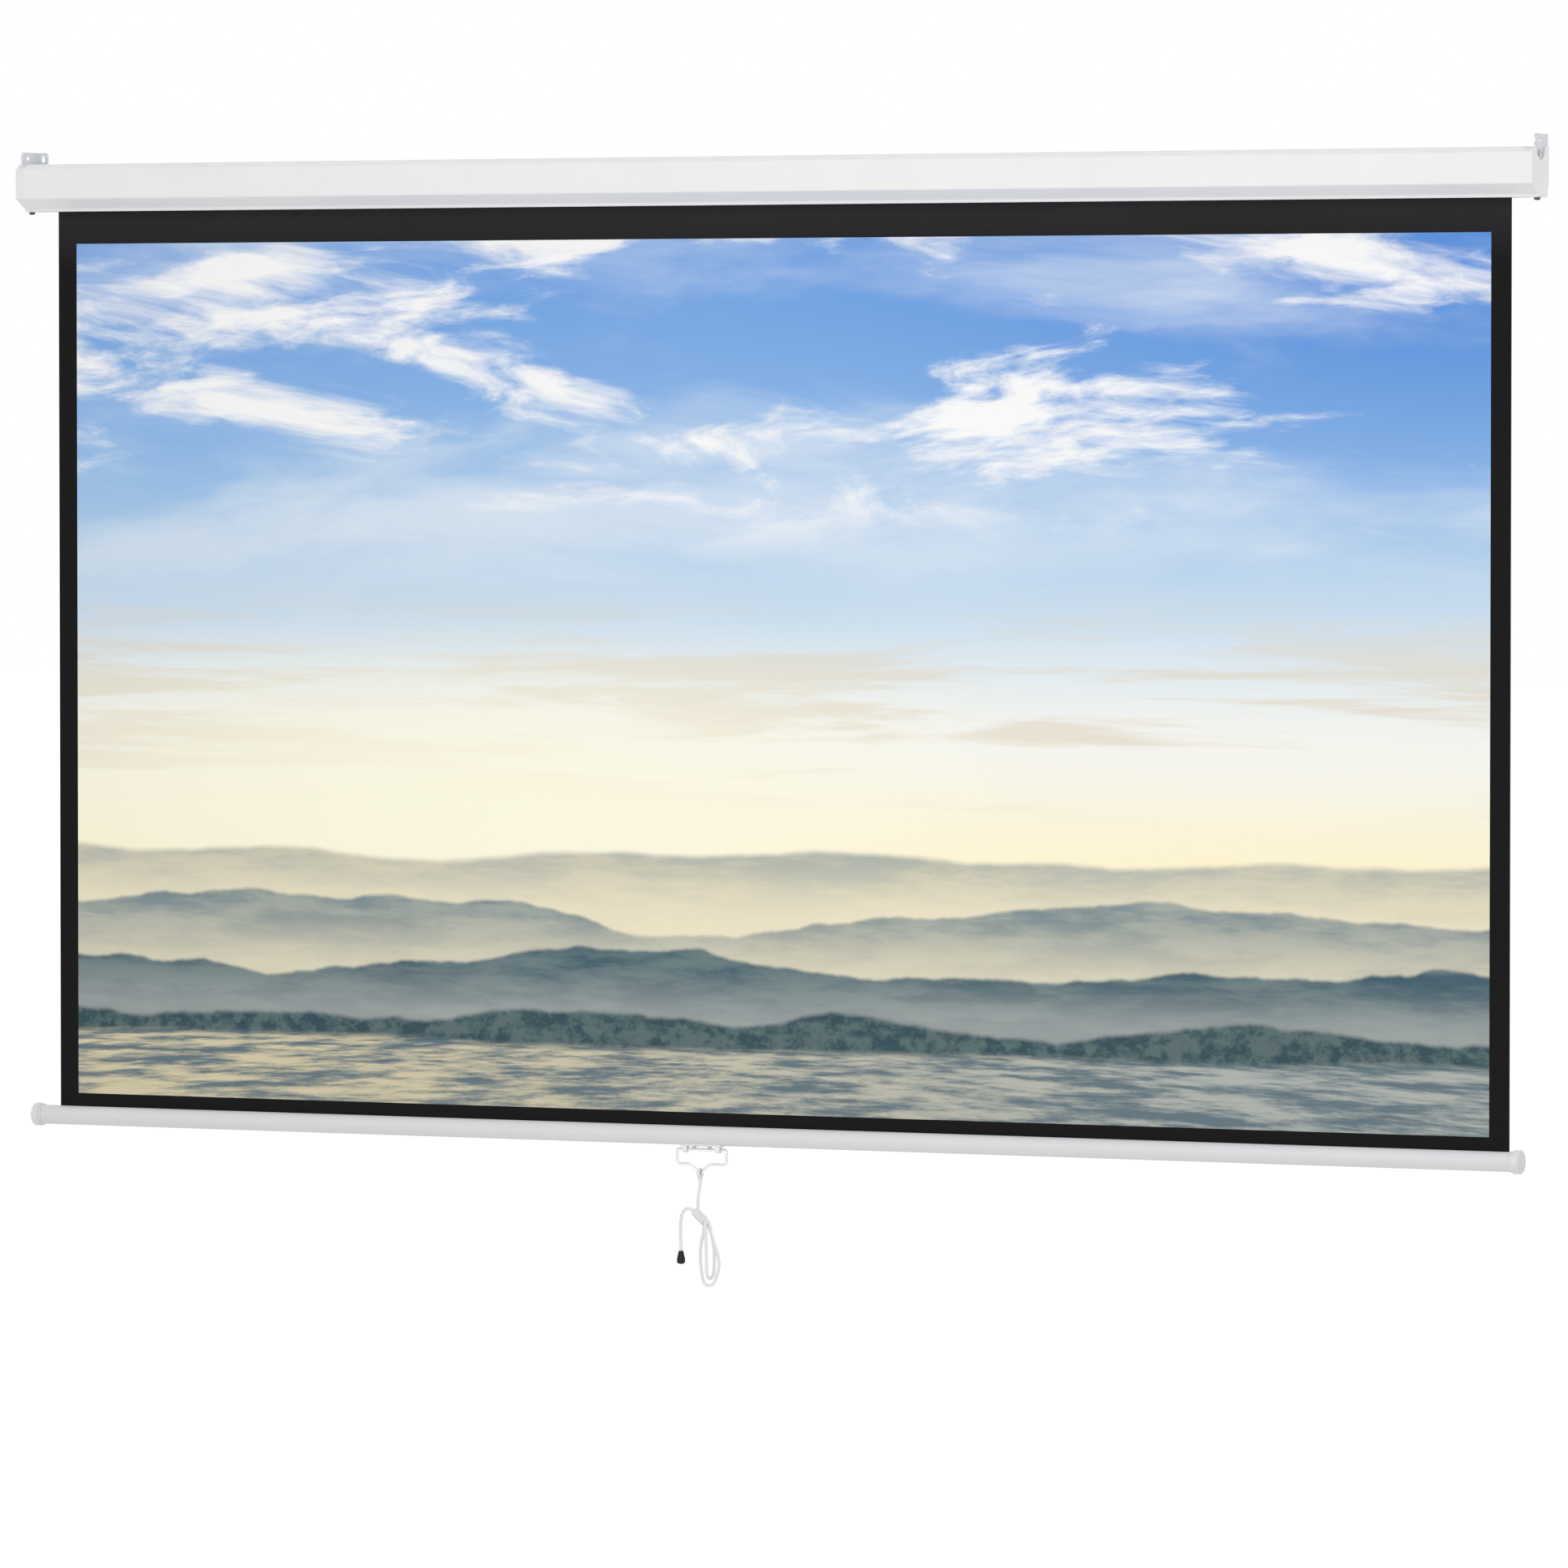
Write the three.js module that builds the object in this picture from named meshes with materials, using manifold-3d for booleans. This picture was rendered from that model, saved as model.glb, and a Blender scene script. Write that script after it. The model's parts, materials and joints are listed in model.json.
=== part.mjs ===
// Pull down projector screen: a spring roller in a steel casing, a coated sheet,
// a weight bar and a pull handle with a cord.
// Millimetres, +X to the viewer's right, -Y towards the viewer, +Z up.
// The origin is the middle of the casing's flat back, which meets the wall.
import * as THREE from 'three';
import { mergeVertices } from 'three/addons/utils/BufferGeometryUtils.js';
import Module from 'manifold-3d';

const wasm = await Module();
wasm.setup();

// Clearances and cuts shared by every piece
const seatGap = 0.3; // between a piece and its seat
const overrun = 5; // how far a cut runs past the face that it opens
const mergeDistance = 1e-4; // corners nearer than this are one
const FULL_TURN = 2 * Math.PI;

// Sheet: a 100 inch picture, 16 to 9, with black borders
const pictureWidth = 2214;
const pictureHeight = 1245;
const sideBorder = 30;
const topBorder = 47; // below the casing
const bottomBorder = 19; // above the weight bar
const sheetThickness = 0.45;
const coatingThickness = 0.15;
const sheetSetback = 19; // from the wall to the middle of the sheet

// Casing: folded sheet steel, open below for the sheet
const bearingRoom = 35; // from the end of the roller to the end of the casing
const casingHeight = 69;
const casingDepth = 65;
const casingWall = 1.2;
const topChamferDepth = 12;
const topChamferDrop = 8;
const bottomChamferDepth = 26;
const bottomChamferRise = 15;
const lipHeight = 3.5;
const slotWidth = 22;
const slotHem = 4;

// End caps: moulded, butted on the casing and plugged into it
const capBand = 14;
const capPlate = 2.5;
const capWall = 2.2;
const spigotLength = 12;
const spigotWall = 2;
const spigotClearance = 9; // above the casing's floor, so that it misses the hems
const capBevelInset = 1.6;
const postRadius = 3.6;
const postSetback = 10; // from the wall
const upperPostDrop = 14; // below the casing's top
const lowerPostRise = 19; // above the casing's floor

// Hanger brackets: bent steel, let into the end caps
const hangerThickness = 2;
const hangerRise = 18; // above the casing
const hangerLift = 0.6; // between the casing's top and the ear
const earFront = 15; // from the casing's front to the ear
const earCorner = 6;
const earHoleWidth = 10;
const earHoleHeight = 6;
const earHoleSetback = 31; // from the wall
const tabWidth = 18;
const tabCorner = 4;
const keyholeHead = 3.4;
const keyholeNeck = 2.2;
const keyholeRise = 4.5;
const tongueWidth = 32;
const tongueDrop = 18; // below the casing's top
const tongueSetback = 32; // from the wall to its middle
const hangerPocketDepth = 4;
const pocketMargin = 0.3; // round the tongue

// Screws
const screwShank = 2;
const screwHole = 2.3;
const hangerHeadRadius = 4.8;
const hangerHeadHeight = 3.2;
const hangerScrewDrop = 8.5; // below the casing's top
const hangerScrewLength = 5;
const footHeadRadius = 4.6;
const footHeadHeight = 3.8;
const footScrewSetback = 27; // from the wall
const footScrewLength = 8;
const footBossRadius = 5;
const footBossHeight = 10;
const bracketHeadRadius = 3.8;
const bracketHeadHeight = 2.2;
const bracketScrewLength = 9;
const crossWidth = 1.1;
const crossDepth = 1.2;
const crossArmShare = 0.55; // of the head's radius
const crownRimShare = 0.35; // of the head's height, below its crown
const crownFlatShare = 0.45; // of the head's radius, flat on top

// Roller and its bearings
const rollerRadius = 16;
const rollerWall = 1;
const rollerPast = 12; // past each side of the sheet
const rollerRise = 2; // above the casing's middle
const windingPitch = 1;
const windingTurns = 2.25;
const rollerBracketThickness = 2;
const plugClearance = 0.3;
const plugFlangeRadius = 17;
const plugFlange = 2;
const ratchetPlugDepth = 26;
const gudgeonPlugDepth = 20;
const gudgeonRadius = 3;
const gudgeonCollar = 4.5;
const gudgeonPast = 1.3; // past the bush
const bushRadius = 6;
const bushFlangeRadius = 8.5;
const bushFlange = 1.5;
const bushPast = 0.6; // past the bracket

// Spindle, spring and ratchet
const rodRadius = 3;
const rodLength = 330;
const rodBore = 3.3;
const spindleCollar = 5.5;
const bladeHeight = 9;
const bladeThickness = 3.2;
const bladePast = 4; // past the bracket
const springRadius = 8.5;
const springWire = 0.9;
const springTurns = 24;
const springSteps = 8; // to a turn
const hubRadius = 10.5;
const hubLength = 14;
const endBushLength = 10;
const ratchetCavityRadius = 12.8;
const ratchetCavityDepth = 6.5;
const wheelRadius = 6.4;
const wheelThickness = 4;
const notchDepth = 1.8;
const notchAngle = 24; // degrees of rim that each notch takes
const pawlPostRadius = 1.2;
const pawlPostOrbit = 9.6;
const pawlPostAngle = 50; // degrees up from the rear
const pawlBore = 1.5;
const pawlHub = 2.5;
const pawlReach = 68; // degrees round the wheel to its nose
const pawlInner = 7.4;
const pawlOuter = 9.6;
const pawlNose = 6.7;
const pawlNoseWidth = 9; // degrees

// Weight bar
const barRadius = 14;
const barWall = 1.2;
const barPast = 15; // past each side of the sheet
const barShift = -12; // the bar has slid this far along the hem
const barSlot = 4.5;
const barCapRadius = 16.75;
const barCapLength = 11;
const barCapRound = 2.6;
const barCollarRadius = 15.2;
const barCollarLength = 4;
const barPlugDepth = 12;
const barPlugWall = 2;
const hemRodRadius = 3;
const hemWall = 0.9;

// Pull handle and the bracket that holds it
const handleOffset = -93.5; // from the screen's middle, as photographed
const handleWire = 2.3;
const handleWidth = 78; // between the middles of its sides
const handleDrop = 21; // from the pivot to the lower run
const handleDip = 35.5; // from the pivot to where the sides of the V would meet
const handleDipWidth = 29;
const handleDipShift = -3;
const handleCorner = 5; // from each corner to where its bend starts
const handleDipCorner = 8;
const handleHang = 6.2; // from the bar's underside to the pivot
const clipLength = 66;
const clipThickness = 1.5;
const clipHalfAngle = 36; // degrees each side of straight down
const knuckleWidth = 7;
const knuckleSpacing = 52;
const knuckleRadius = 4.6;
const knuckleBore = 2.6;
const rivetSpacing = 24;
const rivetRadius = 1.6;
const rivetHead = 3.2;
const rivetHeadHeight = 1.4;

// Cord
const cordRadius = 2.3;
const cordSides = 8;
const hitchRadius = 5.6; // middle of the ring round the handle's wire
const hitchDrop = 0.7; // the ring hangs on the wire by its top
const hitchKnotRadius = 3.7;
const hitchKnotLength = 7;
const wrapStartRadius = 6.3; // outside, at its upper end
const wrapEndRadius = 7.6;
const wrapLength = 28;
const wrapTurns = 4.5;
const wrapCoreBite = 0.9; // the core reaches this far into the turns
const wrapTuckShare = 0.06; // of the winding, where its ends dip into the core
const wrapEndShare = 0.6; // of the turns' radius, at those ends
const wrapTilt = 50; // degrees from upright
const wrapDrop = 53.5; // from the wire in the V to its upper end
const wrapShift = -11.5;
const tipLength = 19;
const tipNeck = 3.6;
const tipBulb = 6.1;
const tipShares = [[0, 0.45], [0.08, 0.8], [0.24, 1], [0.42, 0.95], [0.7, 0.66]]; // of its length and bulb

// Places worked out from the sizes above
const casingTop = casingHeight / 2;
const casingFloor = -casingHeight / 2;
const sheetWidth = pictureWidth + 2 * sideBorder;
const rollerEnd = sheetWidth / 2 + rollerPast;
const casingEnd = rollerEnd + bearingRoom;
const barEnd = sheetWidth / 2 + barPast;
const pictureTop = casingFloor - topBorder;
const pictureBottom = pictureTop - pictureHeight;
const barTop = pictureBottom - bottomBorder;
const barZ = barTop - barRadius;
const windingOuter = rollerRadius + seatGap + windingTurns * windingPitch;
const rollerY = -sheetSetback - windingOuter - sheetThickness / 2;
const bracketInboard = casingEnd - capBand - spigotLength - seatGap - rollerBracketThickness;
const bearingGap = bracketInboard - rollerEnd; // from the roller's end to the bracket
const dipSlope = Math.atan2(handleDip - handleDrop, handleDipWidth / 2);
const dipApex = handleDip - (handleDipCorner * Math.sin(dipSlope)) / 2; // the wire's lowest place

const white = { color: 0xe9eaec, roughness: 0.35, metalness: 0 };
const plastic = { color: 0xe2e2e5, roughness: 0.45, metalness: 0 };
const zinc = { color: 0xc9cacc, roughness: 0.4, metalness: 0.8 };
const darkSteel = { color: 0x4a4b4e, roughness: 0.45, metalness: 0.8 };
const blackCloth = { color: 0x1c1c1e, roughness: 0.7, metalness: 0 };
const pictureWhite = { color: 0xb9cfe2, roughness: 0.8, metalness: 0 };
const nylon = { color: 0xd8d6cf, roughness: 0.5, metalness: 0 };
const cordWhite = { color: 0xdededf, roughness: 0.75, metalness: 0 };
const black = { color: 0x0c0c0d, roughness: 0.4, metalness: 0 };

// Turn a closed three.js geometry into a solid, for cuts and joins
function solid(geometry) {
  const plain = geometry.clone();
  plain.deleteAttribute('normal');
  plain.deleteAttribute('uv');
  const merged = mergeVertices(plain, mergeDistance);
  return new wasm.Manifold(new wasm.Mesh({
    numProp: 3,
    vertProperties: new Float32Array(merged.attributes.position.array),
    triVerts: new Uint32Array(merged.index.array),
  }));
}

function geometryOf(body) {
  const mesh = body.getMesh();
  const geometry = new THREE.BufferGeometry();
  geometry.setAttribute('position', new THREE.BufferAttribute(new Float32Array(mesh.vertProperties), 3));
  geometry.setIndex(new THREE.BufferAttribute(new Uint32Array(mesh.triVerts), 1));
  const flat = geometry.toNonIndexed();
  flat.computeVertexNormals();
  return flat;
}

// A named mesh of one piece
function piece(name, body, finish) {
  const mesh = new THREE.Mesh(geometryOf(body), new THREE.MeshStandardMaterial(finish));
  mesh.name = name;
  return mesh;
}

const radians = THREE.MathUtils.degToRad;

function shapeOf(points) {
  return new THREE.Shape(points.map(([u, v]) => new THREE.Vector2(u, v)));
}

// Extrude an outline drawn in Y and Z along X, from one place to another
function alongX(shape, from, to, curveSegments = 7) {
  const geometry = new THREE.ExtrudeGeometry(shape, { depth: to - from, bevelEnabled: false, curveSegments });
  geometry.applyMatrix4(new THREE.Matrix4().makeBasis(
    new THREE.Vector3(0, 1, 0), new THREE.Vector3(0, 0, 1), new THREE.Vector3(1, 0, 0)));
  geometry.translate(from, 0, 0);
  return solid(geometry);
}

// Extrude an outline drawn in X and Z along Y
function alongY(shape, from, to, curveSegments = 7) {
  const geometry = new THREE.ExtrudeGeometry(shape, { depth: to - from, bevelEnabled: false, curveSegments });
  geometry.rotateX(Math.PI / 2);
  geometry.translate(0, to, 0);
  return solid(geometry);
}

function block(x0, x1, y0, y1, z0, z1) {
  const geometry = new THREE.BoxGeometry(x1 - x0, y1 - y0, z1 - z0);
  geometry.translate((x0 + x1) / 2, (y0 + y1) / 2, (z0 + z1) / 2);
  return solid(geometry);
}

// Revolve a profile of [place along the axis, radius] about X
function revolveX(profile, segments = 24) {
  const points = profile.map(([along, radius]) => new THREE.Vector2(radius, along));
  const geometry = new THREE.LatheGeometry(points, segments);
  geometry.rotateZ(-Math.PI / 2);
  return solid(geometry);
}

function rodX(radius, from, to, segments = 24) {
  return revolveX([[from, 0], [from, radius], [to, radius], [to, 0]], segments);
}

function rodZ(radius, from, to, segments = 20) {
  return rodX(radius, from, to, segments).rotate([0, -90, 0]);
}

function boredX(outer, inner, from, to, segments = 32) {
  return rodX(outer, from, to, segments).subtract(rodX(inner, from - overrun, to + overrun, segments));
}

function mirrored(body) {
  return body.mirror([1, 0, 0]);
}

function joined(...bodies) {
  return wasm.Manifold.union(bodies);
}

// Move each corner of an outline inwards by one distance; the inside is on the left
function inset(points, distance, closed = true) {
  const count = points.length;
  return points.map((point, i) => {
    const before = points[(i - 1 + count) % count];
    const after = points[(i + 1) % count];
    const normals = [];
    if (closed || i > 0) normals.push(leftNormal(before, point));
    if (closed || i < count - 1) normals.push(leftNormal(point, after));
    const first = normals[0];
    const last = normals[normals.length - 1];
    const stretch = distance / (1 + first[0] * last[0] + first[1] * last[1]);
    return [point[0] + (first[0] + last[0]) * stretch, point[1] + (first[1] + last[1]) * stretch];
  });
}

function leftNormal(a, b) {
  const length = Math.hypot(b[0] - a[0], b[1] - a[1]);
  return [-(b[1] - a[1]) / length, (b[0] - a[0]) / length];
}

// The section of a sheet folded along a path
function foldedSheet(path, thickness) {
  return shapeOf([...path, ...inset(path, thickness, false).reverse()]);
}

// A rectangle with rounded corners
function roundedRectangle(x0, x1, z0, z1, radii) {
  const [lowerLeft, lowerRight, upperRight, upperLeft] = radii;
  const shape = new THREE.Shape();
  shape.moveTo(x0 + lowerLeft, z0);
  shape.lineTo(x1 - lowerRight, z0);
  if (lowerRight) shape.absarc(x1 - lowerRight, z0 + lowerRight, lowerRight, -Math.PI / 2, 0);
  shape.lineTo(x1, z1 - upperRight);
  if (upperRight) shape.absarc(x1 - upperRight, z1 - upperRight, upperRight, 0, Math.PI / 2);
  shape.lineTo(x0 + upperLeft, z1);
  if (upperLeft) shape.absarc(x0 + upperLeft, z1 - upperLeft, upperLeft, Math.PI / 2, Math.PI);
  shape.lineTo(x0, z0 + lowerLeft);
  if (lowerLeft) shape.absarc(x0 + lowerLeft, z0 + lowerLeft, lowerLeft, Math.PI, 1.5 * Math.PI);
  return shape;
}

// A tongue that hangs from a straight top to a round end
function tongueShape(middle, width, top, bottom) {
  const radius = width / 2;
  const shape = new THREE.Shape();
  shape.moveTo(middle + radius, top);
  shape.lineTo(middle - radius, top);
  shape.lineTo(middle - radius, bottom + radius);
  shape.absarc(middle, bottom + radius, radius, Math.PI, FULL_TURN);
  return shape;
}

// A round tube along an open path, closed at both ends
function tube(points, radius, steps, sides = cordSides) {
  const path = new THREE.CatmullRomCurve3(points.map((p) => new THREE.Vector3(...p)));
  const section = new THREE.Shape();
  for (let i = 0; i < sides; i += 1) {
    const angle = (i * FULL_TURN) / sides;
    const corner = [radius * Math.cos(angle), radius * Math.sin(angle)];
    if (i === 0) section.moveTo(...corner);
    else section.lineTo(...corner);
  }
  return { path, body: solid(new THREE.ExtrudeGeometry(section, { steps, bevelEnabled: false, extrudePath: path })) };
}

// A pan head with a cross recess, its shank along -X and its seat at x = 0
function panScrew(headRadius, headHeight, shankLength) {
  const crownSteps = 2;
  const crown = [];
  for (let i = 0; i <= crownSteps; i += 1) {
    const angle = (i * Math.PI) / (2 * crownSteps);
    crown.push([headHeight * (crownRimShare + (1 - crownRimShare) * Math.sin(angle)),
      headRadius * (crownFlatShare + (1 - crownFlatShare) * Math.cos(angle))]);
  }
  const screw = revolveX([[-shankLength, 0], [-shankLength, screwShank], [0, screwShank], [0, headRadius],
    ...crown, [headHeight, 0]], 14);
  const arm = headRadius * crossArmShare;
  const floor = headHeight - crossDepth;
  const bar = block(floor, headHeight + overrun, -arm, arm, -crossWidth / 2, crossWidth / 2);
  return screw.subtract(bar).subtract(bar.rotate([90, 0, 0]));
}

// Casing
const slotRear = -sheetSetback + slotWidth / 2;
const slotFront = -sheetSetback - slotWidth / 2;
const frontLowY = -casingDepth + bottomChamferDepth;
const frontLowZ = casingFloor + lipHeight + bottomChamferRise;
const casingFace = [
  [0, casingFloor],
  [0, casingTop],
  [-casingDepth + topChamferDepth, casingTop],
  [-casingDepth, casingTop - topChamferDrop],
  [-casingDepth, frontLowZ],
  [frontLowY, casingFloor + lipHeight],
  [frontLowY, casingFloor],
];
const shellPath = [
  [slotRear, casingFloor + slotHem],
  [slotRear, casingFloor],
  ...casingFace,
  [slotFront, casingFloor],
  [slotFront, casingFloor + slotHem],
];
const shellHalf = casingEnd - capBand - seatGap;

function casingShell() {
  return alongX(foldedSheet(shellPath, casingWall), -shellHalf, shellHalf);
}

// The pocket in the end cap that takes the hanger bracket, and screw places on it
const tongueY = -tongueSetback;
const tongueBottom = casingTop - tongueDrop;
const hangerScrewZ = casingTop - hangerScrewDrop;
const upperPost = [-postSetback, casingTop - upperPostDrop];
const lowerPost = [-postSetback, casingFloor + lowerPostRise];

// End pieces are drawn for the right end, with x = 0 at the casing's end face
function endCap() {
  const clear = casingWall + seatGap;
  const spigotEnd = -capBand - spigotLength;
  const band = alongX(shapeOf(casingFace), -capBand, 0);
  const hollow = alongX(shapeOf(inset(casingFace, capWall)), -capBand - overrun, -capPlate);
  const spigot = alongX(shapeOf(inset(casingFace, clear)), spigotEnd, -capPlate)
    .subtract(alongX(shapeOf(inset(casingFace, clear + spigotWall)), spigotEnd - overrun, -capPlate))
    .subtract(block(spigotEnd - overrun, -capBand, -casingDepth - overrun, overrun,
      casingFloor - overrun, casingFloor + spigotClearance));
  const pocketWidth = tongueWidth + 2 * pocketMargin;
  const pocketBottom = tongueBottom - pocketMargin;
  const pocketBack = -hangerPocketDepth;
  const pocketWall = alongX(tongueShape(tongueY, pocketWidth + 2 * capWall, casingTop, pocketBottom - capWall),
    pocketBack - capPlate, 0);
  const pocket = alongX(tongueShape(tongueY, pocketWidth, casingTop + overrun, pocketBottom), pocketBack, overrun);
  const posts = [upperPost, lowerPost].map(([y, z]) => rodX(postRadius, spigotEnd, -capPlate, 20).translate([0, y, z]));
  const footBoss = rodZ(footBossRadius, casingFloor, casingFloor + footBossHeight)
    .translate([-capBand / 2, -footScrewSetback, 0]);
  const bevel = alongY(shapeOf([[overrun, frontLowZ], [0, frontLowZ], [-capBevelInset, casingFloor],
    [-capBevelInset, casingFloor - overrun], [overrun, casingFloor - overrun]]), -casingDepth - overrun, overrun);
  const postHoles = [upperPost, lowerPost].map(([y, z]) =>
    rodX(screwHole, spigotEnd - overrun, spigotEnd + bracketScrewLength, 16).translate([0, y, z]));
  const hangerHole = rodX(screwHole, pocketBack - capPlate - overrun, 0, 16).translate([0, tongueY, hangerScrewZ]);
  const footHole = rodZ(screwHole, casingFloor - overrun, casingFloor + footBossHeight + overrun)
    .translate([-capBand / 2, -footScrewSetback, 0]);
  return joined(band.subtract(hollow), spigot, ...posts, pocketWall, footBoss)
    .subtract(joined(pocket, bevel, hangerHole, footHole, ...postHoles));
}

function hangerBracket() {
  const outer = -hangerPocketDepth + seatGap + hangerThickness;
  const inner = outer - hangerThickness;
  const earBottom = casingTop + hangerLift;
  const earTop = casingTop + hangerRise;
  const earY = -casingDepth + earFront;
  const ear = alongX(roundedRectangle(earY, 0, earBottom, earTop, [earCorner, 0, 0, earCorner]), inner, outer);
  const tongue = alongX(tongueShape(tongueY, tongueWidth, earBottom + earCorner, tongueBottom), inner, outer);
  const tab = alongY(roundedRectangle(outer - tabWidth, outer, earBottom, earTop, [tabCorner, 0, 0, tabCorner]),
    -hangerThickness, 0);
  const slot = roundedRectangle(-earHoleSetback - earHoleWidth / 2, -earHoleSetback + earHoleWidth / 2,
    (earBottom + earTop - earHoleHeight) / 2, (earBottom + earTop + earHoleHeight) / 2,
    Array(4).fill(earHoleHeight / 2));
  const keyX = (inner + outer - tabWidth) / 2;
  const keyZ = (earBottom + earTop) / 2 - keyholeRise / 2;
  const keyhole = roundedRectangle(keyX - keyholeNeck, keyX + keyholeNeck, keyZ, keyZ + keyholeRise + keyholeNeck,
    [0, 0, keyholeNeck, keyholeNeck]);
  const keyholeRound = new THREE.Shape().absarc(keyX, keyZ, keyholeHead, 0, FULL_TURN);
  const screwOpening = rodX(screwHole, inner - overrun, outer + overrun, 16).translate([0, tongueY, hangerScrewZ]);
  return joined(ear, tongue, tab).subtract(joined(
    alongX(slot, inner - overrun, outer + overrun),
    alongY(keyhole, -hangerThickness - overrun, overrun),
    alongY(keyholeRound, -hangerThickness - overrun, overrun),
    screwOpening,
  ));
}

// Roller bracket, with x = 0 at the roller's end
function rollerBracket(opening) {
  const clear = casingWall + seatGap;
  const outboard = bearingGap + rollerBracketThickness;
  const outline = inset(casingFace, clear).map(([y, z]) => [y - rollerY, z - rollerRise]);
  const plate = alongX(shapeOf(outline), bearingGap, outboard);
  const floor = block(bearingGap - overrun, outboard + overrun, -casingDepth, casingDepth,
    casingFloor - casingHeight, casingFloor + spigotClearance - rollerRise);
  const holes = [upperPost, lowerPost].map(([y, z]) =>
    rodX(screwHole, bearingGap - overrun, outboard + overrun, 16).translate([0, y - rollerY, z - rollerRise]));
  return plate.subtract(joined(floor, opening, ...holes));
}

function bladeOpening() {
  const half = bladeThickness / 2 + seatGap;
  const reach = bladeHeight / 2 + seatGap;
  return block(0, bearingGap + rollerBracketThickness + overrun, -half, half, -reach, reach);
}

// Roller pieces, on the roller's axis
function ratchetPlug() {
  const body = rodX(rollerRadius - rollerWall - plugClearance, -ratchetPlugDepth, seatGap, 40);
  const flange = rodX(plugFlangeRadius, seatGap, seatGap + plugFlange, 40);
  const cavity = rodX(ratchetCavityRadius, -ratchetCavityDepth, plugFlange + overrun, 40);
  const bore = rodX(rodBore + seatGap, -ratchetPlugDepth - overrun, overrun);
  const posts = [0, 180].map((turn) => rodX(pawlPostRadius, -ratchetCavityDepth, -seatGap, 16)
    .translate([0, pawlPostOrbit * Math.cos(radians(pawlPostAngle + turn)),
      pawlPostOrbit * Math.sin(radians(pawlPostAngle + turn))]));
  return joined(joined(body, flange).subtract(joined(cavity, bore)), ...posts);
}

const wheelBack = -ratchetCavityDepth + seatGap;
const wheelFront = wheelBack + wheelThickness;

// The notched wheel: two steep steps that a pawl's nose can drop into
function ratchetWheel() {
  const shape = new THREE.Shape();
  const noseAngle = pawlPostAngle + pawlReach;
  [0, 180].forEach((turn, i) => {
    const step = radians(noseAngle + turn + pawlNoseWidth);
    const slope = step - radians(notchAngle);
    const foot = [(wheelRadius - notchDepth) * Math.cos(step), (wheelRadius - notchDepth) * Math.sin(step)];
    if (i === 0) shape.moveTo(...foot);
    else shape.lineTo(...foot);
    shape.lineTo(wheelRadius * Math.cos(step), wheelRadius * Math.sin(step));
    shape.absarc(0, 0, wheelRadius, step, slope + Math.PI);
  });
  const bore = new THREE.Path().absarc(0, 0, rodRadius + seatGap, 0, FULL_TURN);
  shape.holes.push(bore);
  return alongX(shape, wheelBack, wheelFront, 14);
}

// A pawl hangs on its post and reaches round the wheel to a nose
function pawl() {
  const start = radians(pawlPostAngle);
  const end = radians(pawlPostAngle + pawlReach);
  const nose = end - radians(pawlNoseWidth);
  const arm = new THREE.Shape();
  arm.moveTo(pawlOuter * Math.cos(start), pawlOuter * Math.sin(start));
  arm.absarc(0, 0, pawlOuter, start, end);
  arm.lineTo(pawlNose * Math.cos(end), pawlNose * Math.sin(end));
  arm.lineTo(pawlInner * Math.cos(nose), pawlInner * Math.sin(nose));
  arm.absarc(0, 0, pawlInner, nose, start, true);
  const post = [0, pawlPostOrbit * Math.cos(start), pawlPostOrbit * Math.sin(start)];
  const hub = rodX(pawlHub, wheelBack, wheelFront, 20).translate(post);
  const bore = rodX(pawlBore, wheelBack - overrun, wheelFront + overrun, 16).translate(post);
  return alongX(arm, wheelBack, wheelFront, 10).add(hub).subtract(bore);
}

function spindle() {
  const collarEnd = bearingGap - seatGap;
  const rod = rodX(rodRadius, -rodLength, collarEnd);
  const collar = rodX(spindleCollar, wheelFront + seatGap, collarEnd);
  const blade = block(collarEnd - overrun, bearingGap + rollerBracketThickness + bladePast,
    -bladeThickness / 2, bladeThickness / 2, -bladeHeight / 2, bladeHeight / 2);
  return joined(rod, collar, blade);
}

// The spring's wire leaves each hub along the axis and then winds round the rod
const springStart = -ratchetPlugDepth - seatGap;
const hubStart = -rodLength + endBushLength + hubLength + 2 * seatGap;
const springEnd = hubStart + seatGap;

class SpringPath extends THREE.Curve {
  getPoint(t, target = new THREE.Vector3()) {
    const straight = (2 * springWire) / (springStart - springEnd);
    const wound = THREE.MathUtils.clamp((t - straight) / (1 - 2 * straight), 0, 1);
    const ease = 0.5 / springTurns;
    const angle = FULL_TURN * springTurns * easedRun(wound, ease);
    return target.set(springStart + t * (springEnd - springStart),
      springRadius * Math.cos(angle), springRadius * Math.sin(angle));
  }
}

// A steady run from 0 to 1 that picks up speed over a first share and slows over a last
function easedRun(t, share) {
  const rate = 1 / (1 - share);
  if (t < share) return (rate * t * t) / (2 * share);
  if (t > 1 - share) return 1 - (rate * (1 - t) * (1 - t)) / (2 * share);
  return rate * (t - share / 2);
}

function torsionSpring() {
  const section = new THREE.Shape();
  const sides = 5;
  for (let i = 0; i < sides; i += 1) {
    const angle = (i * FULL_TURN) / sides;
    const corner = [springWire * Math.cos(angle), springWire * Math.sin(angle)];
    if (i === 0) section.moveTo(...corner);
    else section.lineTo(...corner);
  }
  return solid(new THREE.ExtrudeGeometry(section, {
    steps: springTurns * springSteps, bevelEnabled: false, extrudePath: new SpringPath(),
  }));
}

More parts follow.
